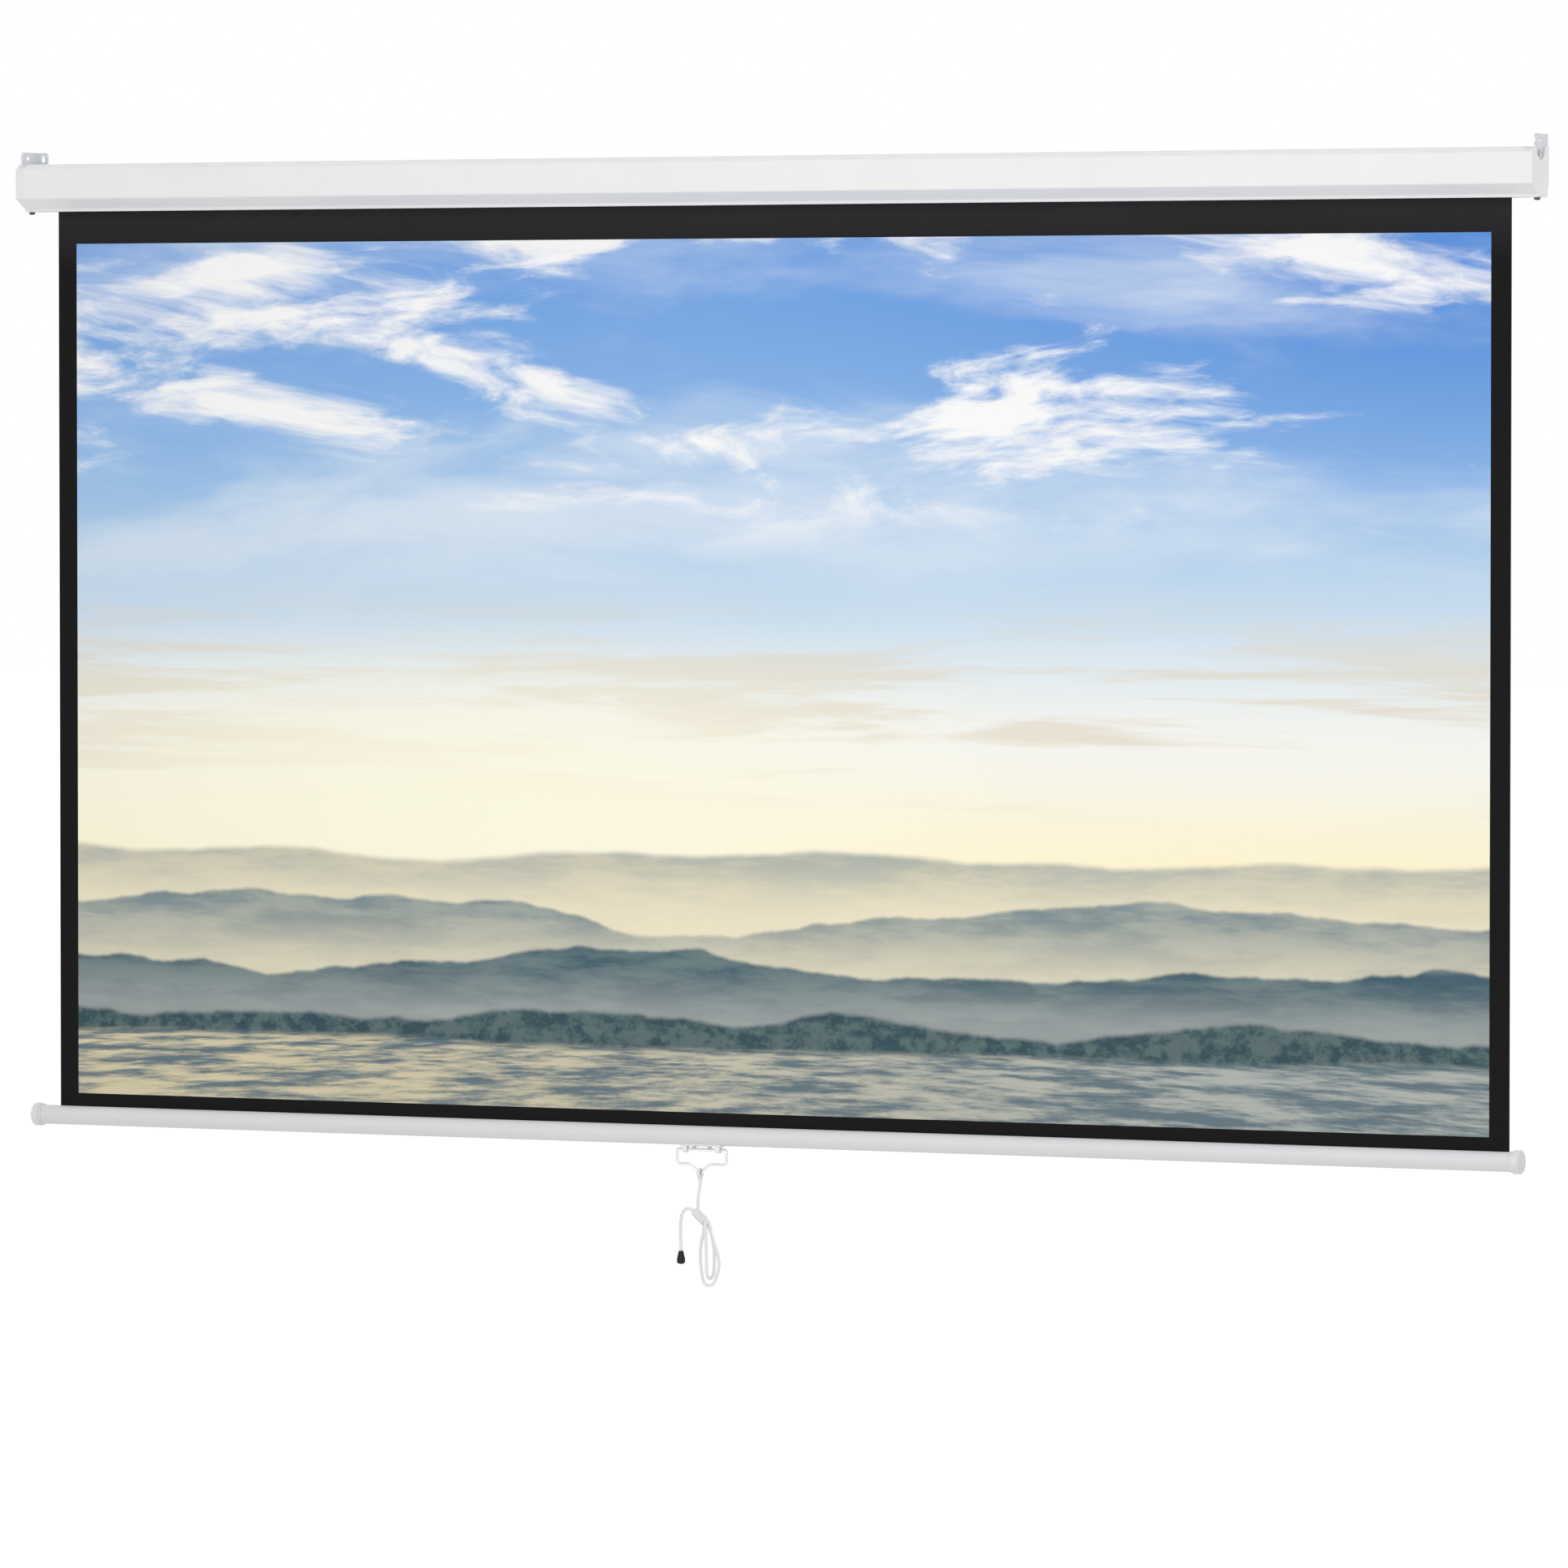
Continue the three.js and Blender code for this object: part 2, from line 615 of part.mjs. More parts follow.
function gudgeonPlug() {
  const body = rodX(rollerRadius - rollerWall - plugClearance, -gudgeonPlugDepth, seatGap, 40);
  const flange = rodX(plugFlangeRadius, seatGap, seatGap + plugFlange, 40);
  const bushInner = bearingGap - bushFlange - seatGap;
  const collar = rodX(gudgeonCollar, 0, bushInner - seatGap);
  const pin = rodX(gudgeonRadius, 0, bearingGap + rollerBracketThickness + bushPast + gudgeonPast);
  const core = rodX(rollerRadius - rollerWall - plugClearance - 2 * rollerWall, -gudgeonPlugDepth - overrun,
    -gudgeonPlugDepth / 2, 32);
  return joined(body.subtract(core), flange, collar, pin);
}

function gudgeonBush() {
  const flangeIn = bearingGap - bushFlange - seatGap;
  const end = bearingGap + rollerBracketThickness + bushPast;
  const flange = rodX(bushFlangeRadius, flangeIn, flangeIn + bushFlange);
  const sleeve = rodX(bushRadius, flangeIn, end);
  return joined(flange, sleeve).subtract(rodX(gudgeonRadius + seatGap, 0, end + overrun));
}

// The sheet's last turns on the roller, one spiral that ends where the sheet hangs down
function windingEdge(extra) {
  const steps = Math.round(windingTurns * 24);
  return Array.from({ length: steps + 1 }, (unused, i) => {
    const turns = (i * windingTurns) / steps;
    const radius = windingOuter - turns * windingPitch + extra;
    return [radius * Math.cos(FULL_TURN * turns), radius * Math.sin(FULL_TURN * turns)];
  });
}

function fabricWinding() {
  const section = shapeOf([...windingEdge(0), ...windingEdge(sheetThickness).reverse()]);
  return alongX(section, -sheetWidth / 2, sheetWidth / 2);
}

// Sheet
function screenFabric() {
  const half = sheetThickness / 2;
  return block(-sheetWidth / 2, sheetWidth / 2, -half, half, pictureBottom, rollerRise - seatGap);
}

function viewingSurface() {
  const front = -sheetThickness / 2;
  return block(-pictureWidth / 2, pictureWidth / 2, front - coatingThickness, front, pictureBottom, pictureTop);
}

// Weight bar pieces, with the origin in the middle of the bar
const slotLipZ = Math.sqrt((barRadius - barWall) ** 2 - (barSlot / 2) ** 2);
const hemOuter = hemRodRadius + seatGap + hemWall;
const hemZ = slotLipZ - Math.sqrt((hemOuter + seatGap) ** 2 - (barSlot / 2) ** 2);

function weightBarTube() {
  const outerEdge = Math.asin(barSlot / 2 / barRadius);
  const innerEdge = Math.asin(barSlot / 2 / (barRadius - barWall));
  const shape = new THREE.Shape();
  shape.absarc(0, 0, barRadius, Math.PI / 2 + outerEdge, Math.PI / 2 - outerEdge + FULL_TURN);
  shape.absarc(0, 0, barRadius - barWall, Math.PI / 2 - innerEdge + FULL_TURN, Math.PI / 2 + innerEdge, true);
  const holes = [-1, 1].map((side) => rodZ(rivetRadius + seatGap, -barRadius - overrun, 0, 12)
    .translate([handleOffset - barShift + (side * rivetSpacing) / 2, 0, 0]));
  return alongX(shape, -barEnd, barEnd, 32).subtract(joined(...holes));
}

// The sheet's last strip and the hem sewn round the rod
function hemStrip() {
  const half = sheetThickness / 2;
  const top = barRadius + bottomBorder - seatGap;
  const strip = shapeOf([[-half, hemZ + hemOuter - hemWall / 2], [half, hemZ + hemOuter - hemWall / 2],
    [half, top], [-half, top]]);
  const from = -sheetWidth / 2 - barShift;
  const to = sheetWidth / 2 - barShift;
  const loop = boredX(hemOuter, hemRodRadius + seatGap, from, to, 20).translate([0, 0, hemZ]);
  return joined(alongX(strip, from, to), loop);
}

function hemRod() {
  return rodX(hemRodRadius, -sheetWidth / 2 - barShift, sheetWidth / 2 - barShift, 16).translate([0, 0, hemZ]);
}

// Bar cap, with x = 0 at the tube's right end
function barCap() {
  const plug = barRadius - barWall - seatGap;
  const bandStart = seatGap + barCollarLength;
  const bandEnd = bandStart + barCapLength;
  const rim = [];
  for (let i = 0; i <= 4; i += 1) {
    const angle = (i * Math.PI) / 8;
    rim.push([bandEnd - barCapRound + barCapRound * Math.sin(angle),
      barCapRadius - barCapRound + barCapRound * Math.cos(angle)]);
  }
  const turned = revolveX([[bandStart, 0], [bandStart, plug - barPlugWall], [-barPlugDepth, plug - barPlugWall],
    [-barPlugDepth, plug], [seatGap, plug], [seatGap, barCollarRadius], [bandStart, barCollarRadius],
    [bandStart, barCapRadius], ...rim, [bandEnd, 0]], 28);
  const hemClear = hemOuter + seatGap;
  return turned.subtract(block(-barPlugDepth - overrun, 0, -hemClear, hemClear, hemZ - hemClear, barRadius));
}

// Handle pieces, with the origin on the handle's pivot
function handleClip() {
  const middle = barRadius + handleHang;
  const from = Math.PI * 1.5 - radians(clipHalfAngle);
  const to = Math.PI * 1.5 + radians(clipHalfAngle);
  const inner = barRadius + seatGap;
  const outer = inner + clipThickness;
  const saddle = new THREE.Shape();
  saddle.absarc(0, 0, outer, from, to);
  saddle.absarc(0, 0, inner, to, from, true);
  const plate = alongX(saddle, -clipLength / 2, clipLength / 2, 10).translate([0, 0, middle]);
  const knuckles = [-1, 1].map((side) => {
    const x = (side * knuckleSpacing) / 2;
    const ring = rodX(knuckleRadius, -knuckleWidth / 2, knuckleWidth / 2);
    const neck = block(-knuckleWidth / 2, knuckleWidth / 2, -knuckleRadius, knuckleRadius,
      0, middle - inner - clipThickness / 2);
    return joined(ring, neck).subtract(alongX(saddleCore(middle, inner), -clipLength, clipLength, 20))
      .subtract(rodX(knuckleBore, -clipLength, clipLength)).translate([x, 0, 0]);
  });
  const holes = [-1, 1].map((side) => rodZ(rivetRadius + seatGap, 0, middle, 12)
    .translate([(side * rivetSpacing) / 2, 0, 0]));
  return joined(plate, ...knuckles).subtract(joined(...holes));
}

function saddleCore(height, radius) {
  return new THREE.Shape().absarc(0, height, radius, 0, FULL_TURN);
}

function clipRivet() {
  const seat = handleHang - seatGap - clipThickness;
  const top = handleHang + barWall + rivetHeadHeight;
  const shank = rodZ(rivetRadius, seat - seatGap, top, 12);
  const head = rodZ(rivetHead, seat - seatGap - rivetHeadHeight, seat - seatGap, 16);
  return joined(shank, head);
}

// The handle's outline, from the middle of its top run round through the V
function handlePath() {
  const side = handleWidth / 2;
  const dip = handleDipWidth / 2;
  const corners = [
    [side, 0, handleCorner],
    [side, -handleDrop, handleCorner],
    [handleDipShift + dip, -handleDrop, handleCorner],
    [handleDipShift, -handleDip, handleDipCorner],
    [handleDipShift - dip, -handleDrop, handleCorner],
    [-side, -handleDrop, handleCorner],
    [-side, 0, handleCorner],
  ];
  const path = new THREE.CurvePath();
  let from = new THREE.Vector3(0, 0, 0);
  corners.forEach(([x, z, bend], i) => {
    const corner = new THREE.Vector3(x, 0, z);
    const [nextX, nextZ] = corners[i + 1] ?? [0, 0];
    const next = new THREE.Vector3(nextX, 0, nextZ);
    const into = corner.clone().add(from.clone().sub(corner).setLength(bend));
    const out = corner.clone().add(next.clone().sub(corner).setLength(bend));
    path.add(new THREE.LineCurve3(from, into));
    path.add(new THREE.QuadraticBezierCurve3(into, corner, out));
    from = out;
  });
  path.add(new THREE.LineCurve3(from, new THREE.Vector3(0, 0, 0)));
  return path;
}

// A closed wire loop: each straight run has a ring of points and each bend has six
function pullHandle() {
  const path = handlePath();
  const places = [];
  path.curves.forEach((curve) => {
    const steps = curve.isQuadraticBezierCurve3 ? 6 : 1;
    for (let i = 0; i < steps; i += 1) {
      places.push({ at: curve.getPoint(i / steps), along: curve.getTangent(i / steps) });
    }
  });
  const sides = 8;
  const positions = [];
  places.forEach(({ at, along }) => {
    const out = new THREE.Vector3(along.z, 0, -along.x);
    for (let i = 0; i < sides; i += 1) {
      const angle = (i * FULL_TURN) / sides;
      const across = handleWire * Math.cos(angle);
      positions.push(at.x + out.x * across, handleWire * Math.sin(angle), at.z + out.z * across);
    }
  });
  const faces = [];
  places.forEach((unused, i) => {
    const here = i * sides;
    const next = ((i + 1) % places.length) * sides;
    for (let j = 0; j < sides; j += 1) {
      const k = (j + 1) % sides;
      faces.push(here + j, here + k, next + k, here + j, next + k, next + j);
    }
  });
  const geometry = new THREE.BufferGeometry();
  geometry.setAttribute('position', new THREE.Float32BufferAttribute(positions, 3));
  geometry.setIndex(faces);
  return solid(geometry);
}

// Cord pieces, with the origin in the wire at the point of the handle's V.
// The points are the middle of the cord as it hangs in the photograph.
const knotBottom = -hitchDrop - hitchRadius - hitchKnotLength;
const dropPoints = [
  [0, 0, knotBottom - seatGap],
  [0, 0, -16.6],
  [-0.8, 0, -22],
  [-2.2, 0, -29],
  [-3.1, 0, -37],
  [-3.4, 0, -44],
  [-3.4, 0, -50.6],
];
const tailPoints = [
  [-12.7, 0, -54.4],
  [-13.9, 0, -53.6],
  [-15.9, 0, -52.7],
  [-18.7, 0, -52.2],
  [-22, 0, -52.9],
  [-24.8, 0, -54.6],
  [-27, 0, -57.2],
  [-29, 0, -62],
  [-30.3, 0, -69],
  [-31, 0, -79],
  [-31, 0, -91],
  [-30.7, 0, -102],
  [-30.3, 0, -107.5],
  [-30.2, 0, -112.6],
];
const outerLoopPoints = [
  [6.4, 0, -75],
  [6.2, 0, -80],
  [4.6, 0, -89.5],
  [1.4, 0, -102],
  [0.2, 0, -116],
  [1, 0, -132],
  [2.9, 0, -146],
  [4.9, 0, -154.8],
  [7.1, 0, -158.3],
  [10.6, 0, -160.5],
  [13.9, 0, -161.1],
  [17.2, 0, -160.5],
  [20.7, 0, -158.3],
  [22.9, 0, -155],
  [26.6, 0, -146],
  [29.3, 0, -136],
  [29.6, 0, -126],
  [27.2, 0, -115],
  [22.6, 0, -102.5],
  [17.8, 0, -88.2],
  [15.3, 0, -77],
  [14.9, 0, -69.7],
];
const innerLoopPoints = [
  [10.6, -4.6, -73.4],
  [10.7, -5, -79],
  [12, -6.6, -90],
  [13.4, -8.4, -104],
  [14.2, -9.2, -120],
  [14.5, -9.4, -132],
  [14.6, -9.3, -141.5],
  [14.9, -8, -146.2],
  [15.4, -4.6, -149.6],
  [15.9, 0, -150.8],
  [16.4, 4.6, -149.6],
  [16.9, 8, -146.2],
  [17.2, 9.3, -141.5],
  [17.8, 9.4, -132],
  [18.2, 9.2, -120],
  [17.4, 8.4, -104],
  [15, 6.6, -90],
  [11.4, 5, -79],
  [10.8, 4.6, -73.4],
];

// The hitch: a turn of cord round the wire and the small knot below it
function cordHitch() {
  const ring = new THREE.TorusGeometry(hitchRadius, cordRadius, cordSides, 20);
  ring.rotateY(Math.PI / 2);
  ring.translate(0, 0, -hitchDrop);
  const top = -hitchDrop - hitchRadius;
  const knot = revolveX([[knotBottom, 0], [knotBottom, cordRadius + seatGap],
    [knotBottom + 1.5 * cordRadius, hitchKnotRadius], [top - cordRadius / 2, hitchKnotRadius],
    [top + cordRadius / 2, cordRadius], [top + cordRadius / 2, 0]], 14).rotate([0, -90, 0]);
  return solid(ring).add(knot);
}

// The wrap that gathers the strands: one winding of cord over a core, its ends tucked in
const wrapPitch = (wrapLength - 2 * cordRadius) / wrapTurns;
const wrapSteps = wrapTurns * 20;
const wrapPoints = Array.from({ length: wrapSteps + 1 }, (unused, i) => {
  const share = i / wrapSteps;
  const outside = THREE.MathUtils.lerp(wrapStartRadius, wrapEndRadius, share);
  const tuck = THREE.MathUtils.smoothstep(Math.min(share, 1 - share), 0, wrapTuckShare);
  const radius = (outside - cordRadius) * THREE.MathUtils.lerp(wrapEndShare, 1, tuck);
  const angle = FULL_TURN * wrapTurns * share;
  return [cordRadius + share * wrapTurns * wrapPitch, radius * Math.cos(angle), radius * Math.sin(angle)];
});

function cordWrap(winding) {
  const bite = 2 * cordRadius - wrapCoreBite;
  const core = revolveX([[0, 0], [0, wrapStartRadius - bite], [wrapLength, wrapEndRadius - bite], [wrapLength, 0]], 14);
  return core.add(winding).rotate([0, 90 - wrapTilt, 0]).translate([wrapShift, 0, -wrapDrop]);
}

function cordTip() {
  const [x, y, z] = tailPoints[tailPoints.length - 1];
  const top = z - seatGap;
  const bottom = top - tipLength;
  const outline = tipShares.map(([rise, width]) => [bottom + tipLength * rise, tipBulb * width]);
  return revolveX([[bottom, 0], ...outline, [top, tipNeck], [top, 0]], 20)
    .rotate([0, -90, 0]).translate([x, y, 0]);
}

// Print the least gap between one stretch and another, or between a stretch and itself
function leastGap(name, first, second, thickness) {
  const places = 240;
  const own = first === second;
  const a = first.getSpacedPoints(places);
  const b = second.getSpacedPoints(places);
  const step = first.getLength() / places;
  let least = Infinity;
  a.forEach((p, i) => b.forEach((q, j) => {
    const apart = own && Math.abs(i - j) * step < 2 * thickness;
    if (!apart) least = Math.min(least, p.distanceTo(q));
  }));
  console.log(`${name}: least gap ${(least - thickness).toFixed(2)} mm`);
}

const drop = tube(dropPoints, cordRadius, 10);
const tail = tube(tailPoints, cordRadius, 14);
const outerLoop = tube(outerLoopPoints, cordRadius, 30);
const innerLoop = tube(innerLoopPoints, cordRadius, 28);
const winding = tube(wrapPoints, cordRadius, wrapSteps, 6);
const cordWidth = 2 * cordRadius;
leastGap('outer loop to itself', outerLoop.path, outerLoop.path, cordWidth);
leastGap('inner loop to itself', innerLoop.path, innerLoop.path, cordWidth);
leastGap('outer loop to inner loop', outerLoop.path, innerLoop.path, cordWidth);
leastGap('tail to drop', tail.path, drop.path, cordWidth);
leastGap('wrap to itself', winding.path, winding.path, cordWidth);
const woundSheet = new THREE.CatmullRomCurve3(windingEdge(0).map(([y, z]) => new THREE.Vector3(0, y, z)));
leastGap('wound sheet to itself', woundSheet, woundSheet, sheetThickness);
const cordLength = [drop, tail, outerLoop, innerLoop].reduce((sum, part) => sum + part.path.getLength(), 0);
console.log(`free cord length ${cordLength.toFixed(0)} mm`);

// Put the pieces together, as the screen hangs when it is pulled down
function group(x, y, z, ...children) {
  const part = new THREE.Group();
  part.position.set(x, y, z);
  part.add(...children);
  return part;
}

function placed(mesh, x, y, z) {
  mesh.position.set(x, y, z);
  return mesh;
}

// The fixed fittings at one end; the side is 1 at the right and -1 at the left
function casingEndPieces(label, side) {
  const handed = (body) => (side > 0 ? body : mirrored(body));
  const plateFace = -hangerPocketDepth + seatGap + hangerThickness;
  const footScrew = panScrew(footHeadRadius, footHeadHeight, footScrewLength).rotate([0, 90, 0]);
  return group(side * casingEnd, 0, 0,
    piece(`${label}_end_cap`, handed(endCap()), plastic),
    piece(`${label}_hanger_bracket`, handed(hangerBracket()), zinc),
    placed(piece(`${label}_hanger_screw`, handed(panScrew(hangerHeadRadius, hangerHeadHeight, hangerScrewLength)),
      zinc), side * (plateFace + seatGap), tongueY, hangerScrewZ),
    placed(piece(`${label}_foot_screw`, footScrew, darkSteel),
      (-side * capBand) / 2, -footScrewSetback, casingFloor - seatGap));
}

function bracketScrews(label, side) {
  const head = panScrew(bracketHeadRadius, bracketHeadHeight, bracketScrewLength);
  const facing = side > 0 ? mirrored(head) : head;
  return [['upper', upperPost], ['lower', lowerPost]].map(([place, [y, z]]) =>
    placed(piece(`${label}_${place}_bracket_screw`, facing, zinc),
      side * (bracketInboard - seatGap), y, z));
}

const rightBearing = group(rollerEnd, rollerY, rollerRise,
  piece('spindle_bracket', rollerBracket(bladeOpening()), zinc),
  piece('spindle', spindle(), zinc),
  piece('ratchet_wheel', ratchetWheel(), zinc),
  piece('torsion_spring', torsionSpring(), darkSteel),
  piece('spring_hub', boredX(hubRadius, rodBore, hubStart - hubLength, hubStart), nylon));

const leftBearing = group(-rollerEnd, rollerY, rollerRise,
  piece('gudgeon_bracket', mirrored(rollerBracket(rodX(bushRadius + seatGap, 0,
    bearingGap + rollerBracketThickness + overrun))), zinc),
  piece('gudgeon_bush', mirrored(gudgeonBush()), nylon));

const roller = group(0, rollerY, rollerRise,
  piece('roller_tube', boredX(rollerRadius, rollerRadius - rollerWall, -rollerEnd, rollerEnd, 40), zinc),
  piece('fabric_winding', fabricWinding(), blackCloth),
  placed(piece('ratchet_plug', ratchetPlug(), nylon), rollerEnd, 0, 0),
  placed(piece('upper_pawl', pawl(), zinc), rollerEnd, 0, 0),
  placed(piece('lower_pawl', pawl().rotate([180, 0, 0]), zinc), rollerEnd, 0, 0),
  placed(piece('rod_end_bush', boredX(rollerRadius - rollerWall - plugClearance, rodBore,
    -rodLength, -rodLength + endBushLength), nylon), rollerEnd, 0, 0),
  placed(piece('gudgeon_plug', mirrored(gudgeonPlug()), nylon), -rollerEnd, 0, 0));

const sheet = group(0, -sheetSetback, 0,
  piece('screen_fabric', screenFabric(), blackCloth),
  piece('viewing_surface', viewingSurface(), pictureWhite));

const weightBar = group(barShift, -sheetSetback, barZ,
  piece('weight_bar_tube', weightBarTube(), white),
  piece('hem_strip', hemStrip(), blackCloth),
  piece('hem_rod', hemRod(), zinc),
  placed(piece('right_bar_cap', barCap(), plastic), barEnd, 0, 0),
  placed(piece('left_bar_cap', mirrored(barCap()), plastic), -barEnd, 0, 0));

const handle = group(handleOffset, -sheetSetback, barZ - barRadius - handleHang,
  piece('handle_clip', handleClip(), plastic),
  placed(piece('left_clip_rivet', clipRivet(), zinc), -rivetSpacing / 2, 0, 0),
  placed(piece('right_clip_rivet', clipRivet(), zinc), rivetSpacing / 2, 0, 0),
  piece('pull_handle', pullHandle(), plastic),
  group(handleDipShift, 0, -dipApex,
    piece('cord_hitch', cordHitch(), cordWhite),
    piece('pull_cord', drop.body, cordWhite),
    piece('cord_wrap', cordWrap(winding.body), cordWhite),
    piece('cord_outer_loop', outerLoop.body, cordWhite),
    piece('cord_inner_loop', innerLoop.body, cordWhite),
    piece('cord_tail', tail.body, cordWhite),
    piece('cord_tip', cordTip(), black)));

const screen = group(0, 0, 0,
  piece('casing_shell', casingShell(), white),
  casingEndPieces('left', -1),
  casingEndPieces('right', 1),
  ...bracketScrews('left', -1),
  ...bracketScrews('right', 1),
  leftBearing, rightBearing, roller, sheet, weightBar, handle);

export default screen;
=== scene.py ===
# %% [markdown]
# A pull down projector screen, dressed around its CAD frame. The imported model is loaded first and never
# moved. Each piece made here stands in for one of its nodes, in the same place, and hides it. Sizes are
# written in millimetres and turned into metres once, so that they compare with a workshop drawing.

# %% Load the frame
import json
from math import asin, cos, pi, radians, sin

import bmesh
import bpy
from mathutils import Matrix, Vector, noise


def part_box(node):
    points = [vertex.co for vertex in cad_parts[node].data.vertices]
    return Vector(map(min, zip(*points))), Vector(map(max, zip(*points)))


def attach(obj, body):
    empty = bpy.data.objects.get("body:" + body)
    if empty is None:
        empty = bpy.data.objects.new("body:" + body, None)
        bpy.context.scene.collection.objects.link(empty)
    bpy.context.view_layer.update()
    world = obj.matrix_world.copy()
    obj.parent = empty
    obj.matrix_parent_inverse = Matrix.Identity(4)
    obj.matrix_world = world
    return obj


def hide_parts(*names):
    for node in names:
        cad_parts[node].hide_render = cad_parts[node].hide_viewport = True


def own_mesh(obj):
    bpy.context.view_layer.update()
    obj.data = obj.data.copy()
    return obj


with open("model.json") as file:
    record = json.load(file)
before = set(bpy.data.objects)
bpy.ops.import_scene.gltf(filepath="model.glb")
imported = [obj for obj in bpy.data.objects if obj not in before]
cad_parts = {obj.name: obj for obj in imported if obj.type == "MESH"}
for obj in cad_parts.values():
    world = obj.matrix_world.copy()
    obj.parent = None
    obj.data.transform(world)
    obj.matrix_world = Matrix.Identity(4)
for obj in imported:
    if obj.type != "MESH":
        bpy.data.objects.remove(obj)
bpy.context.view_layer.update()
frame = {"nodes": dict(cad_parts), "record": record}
MM = 0.001
FULL_TURN = 2 * pi


def mm(*place):
    """A place given in millimetres, in metres."""
    return Vector(place) * MM


def in_scene(name, data):
    """A new object of some data, linked to the scene."""
    made = bpy.data.objects.new(name, data)
    bpy.context.collection.objects.link(made)
    return made


# %% [markdown]
# The camera stands far off to the right, a little above the screen's middle, with a long lens, as a shop's
# photographer does with wide goods. It could be placed by eye, but two angles and a distance were fitted to
# the corners of the picture and the ends of the casing and the weight bar.

# %% Camera
look_at = mm(35.64, -19, -855.63)
camera_yaw, camera_pitch = radians(25.0), radians(2.0236)
camera_distance = 14507.69 * MM
looking = Vector((-sin(camera_yaw) * cos(camera_pitch),
                  cos(camera_yaw) * cos(camera_pitch), -sin(camera_pitch)))
camera_data = bpy.data.cameras.new("camera")
camera_data.sensor_width = 36
camera_data.lens = 234.62
camera_data.clip_end = 100
camera = in_scene("camera", camera_data)
camera.location = look_at - looking * camera_distance
camera.rotation_euler = looking.to_track_quat("-Z", "Y").to_euler()
bpy.context.scene.camera = camera
print("camera at", tuple(round(x, 3) for x in camera.location))

# %% [markdown]
# The light is plain and soft: a pale surround, a wide lamp in front of the right half, so that the casing's
# left end falls off a little, a weak one above, and a small one for the end caps' faces. Camera, mirror and
# glass rays see the surround as white. Stronger lamps would whiten the page too, but burn out the paint.


# %% Light and surround
def add_node(tree, kind, inputs=None, **settings):
    """Add one shader node. Each input is a number, a colour or another node's output."""
    made = tree.nodes.new(f"ShaderNode{kind}")
    for name, value in settings.items():
        setattr(made, name, value)
    for socket, value in (inputs or {}).items():
        if isinstance(value, bpy.types.NodeSocket):
            tree.links.new(value, made.inputs[socket])
        else:
            made.inputs[socket].default_value = value
    return made


def sum_of(tree, operation, first, second=0.0, third=0.0, clamp=False):
    """One step of arithmetic in a shader tree."""
    return add_node(tree, "Math", {0: first, 1: second, 2: third},
                    operation=operation, use_clamp=clamp).outputs[0]


def ray_is_seen(tree):
    """1 for rays that should see a white surround: camera, mirror and glass rays."""
    path = add_node(tree, "LightPath")
    seen = sum_of(tree, "ADD", path.outputs["Is Camera Ray"], path.outputs["Is Glossy Ray"])
    return sum_of(tree, "ADD", seen, path.outputs["Is Transmission Ray"], clamp=True)


world = bpy.data.worlds.new("surround")
bpy.context.scene.world = world
world.use_nodes = True
tree = world.node_tree
tree.nodes.clear()
surround_strength = 0.73
seen = ray_is_seen(tree)
strength = sum_of(tree, "MULTIPLY_ADD", seen, 1 - surround_strength, surround_strength)
WHITE = (1, 1, 1, 1)
background = add_node(tree, "Background", {"Color": WHITE, "Strength": strength})
add_node(tree, "OutputWorld", {"Surface": background.outputs[0]})


def soft_lamp(name, place, aim, width, power):
    """A square area lamp at one place in metres, aimed at another, with its power in watts."""
    data = bpy.data.lights.new(name, "AREA")
    data.shape = "SQUARE"
    data.size = width
    data.energy = power
    lamp = in_scene(name, data)
    lamp.location = place
    lamp.rotation_euler = (Vector(aim) - Vector(place)).to_track_quat("-Z", "Y").to_euler()
    print(f"{name}: {power} watts")


soft_lamp("front_lamp", (0.5, -3.2, -0.35), (0.35, 0, -0.3), 1.6, 22)
soft_lamp("top_lamp", (0.2, -2.4, 3.2), (0, 0, -0.6), 2.0, 18)
soft_lamp("side_lamp", (3.0, -0.35, 0.3), (1.15, 0, -0.1), 0.8, 5.5)

# %% [markdown]
# Finishes share a few effects, each a shader group with named inputs: a mottle that shifts a colour a little,
# fine grain, dust on faces that look up, and a plain weave. Each finish could hold its own copy, but one
# group keeps them alike. All read Object coordinates in metres, so their sizes are real sizes.


# %% Shader groups
def new_group(name, inputs, outputs):
    """An empty shader group with named sockets, and its two end nodes."""
    tree = bpy.data.node_groups.new(name, "ShaderNodeTree")
    for socket, kind, value in inputs:
        made = tree.interface.new_socket(socket, in_out="INPUT", socket_type=f"NodeSocket{kind}")
        made.default_value = value
    for socket, kind in outputs:
        tree.interface.new_socket(socket, in_out="OUTPUT", socket_type=f"NodeSocket{kind}")
    start = tree.nodes.new("NodeGroupInput")
    end = tree.nodes.new("NodeGroupOutput")
    return tree, start.outputs, end.inputs


def object_place(tree):
    """The place on a piece, in metres."""
    return add_node(tree, "TexCoord").outputs["Object"]


def parts_of(tree, vector):
    """The X, Y and Z of a vector."""
    return add_node(tree, "SeparateXYZ", {0: vector}).outputs


def speckle(tree, place, scale, detail=2.0, roughness=0.5):
    """A noise pattern, from 0 to 1."""
    return add_node(tree, "TexNoise", {
        "Vector": place, "Scale": scale, "Detail": detail, "Roughness": roughness}).outputs["Fac"]


def ramp(tree, value, low, high, bottom=0.0, top=1.0, curve="LINEAR"):
    """Run from bottom to top while a value runs from low to high."""
    return add_node(tree, "MapRange", {"Value": value, "From Min": low, "From Max": high, "To Min": bottom,
                                       "To Max": top}, interpolation_type=curve).outputs[0]


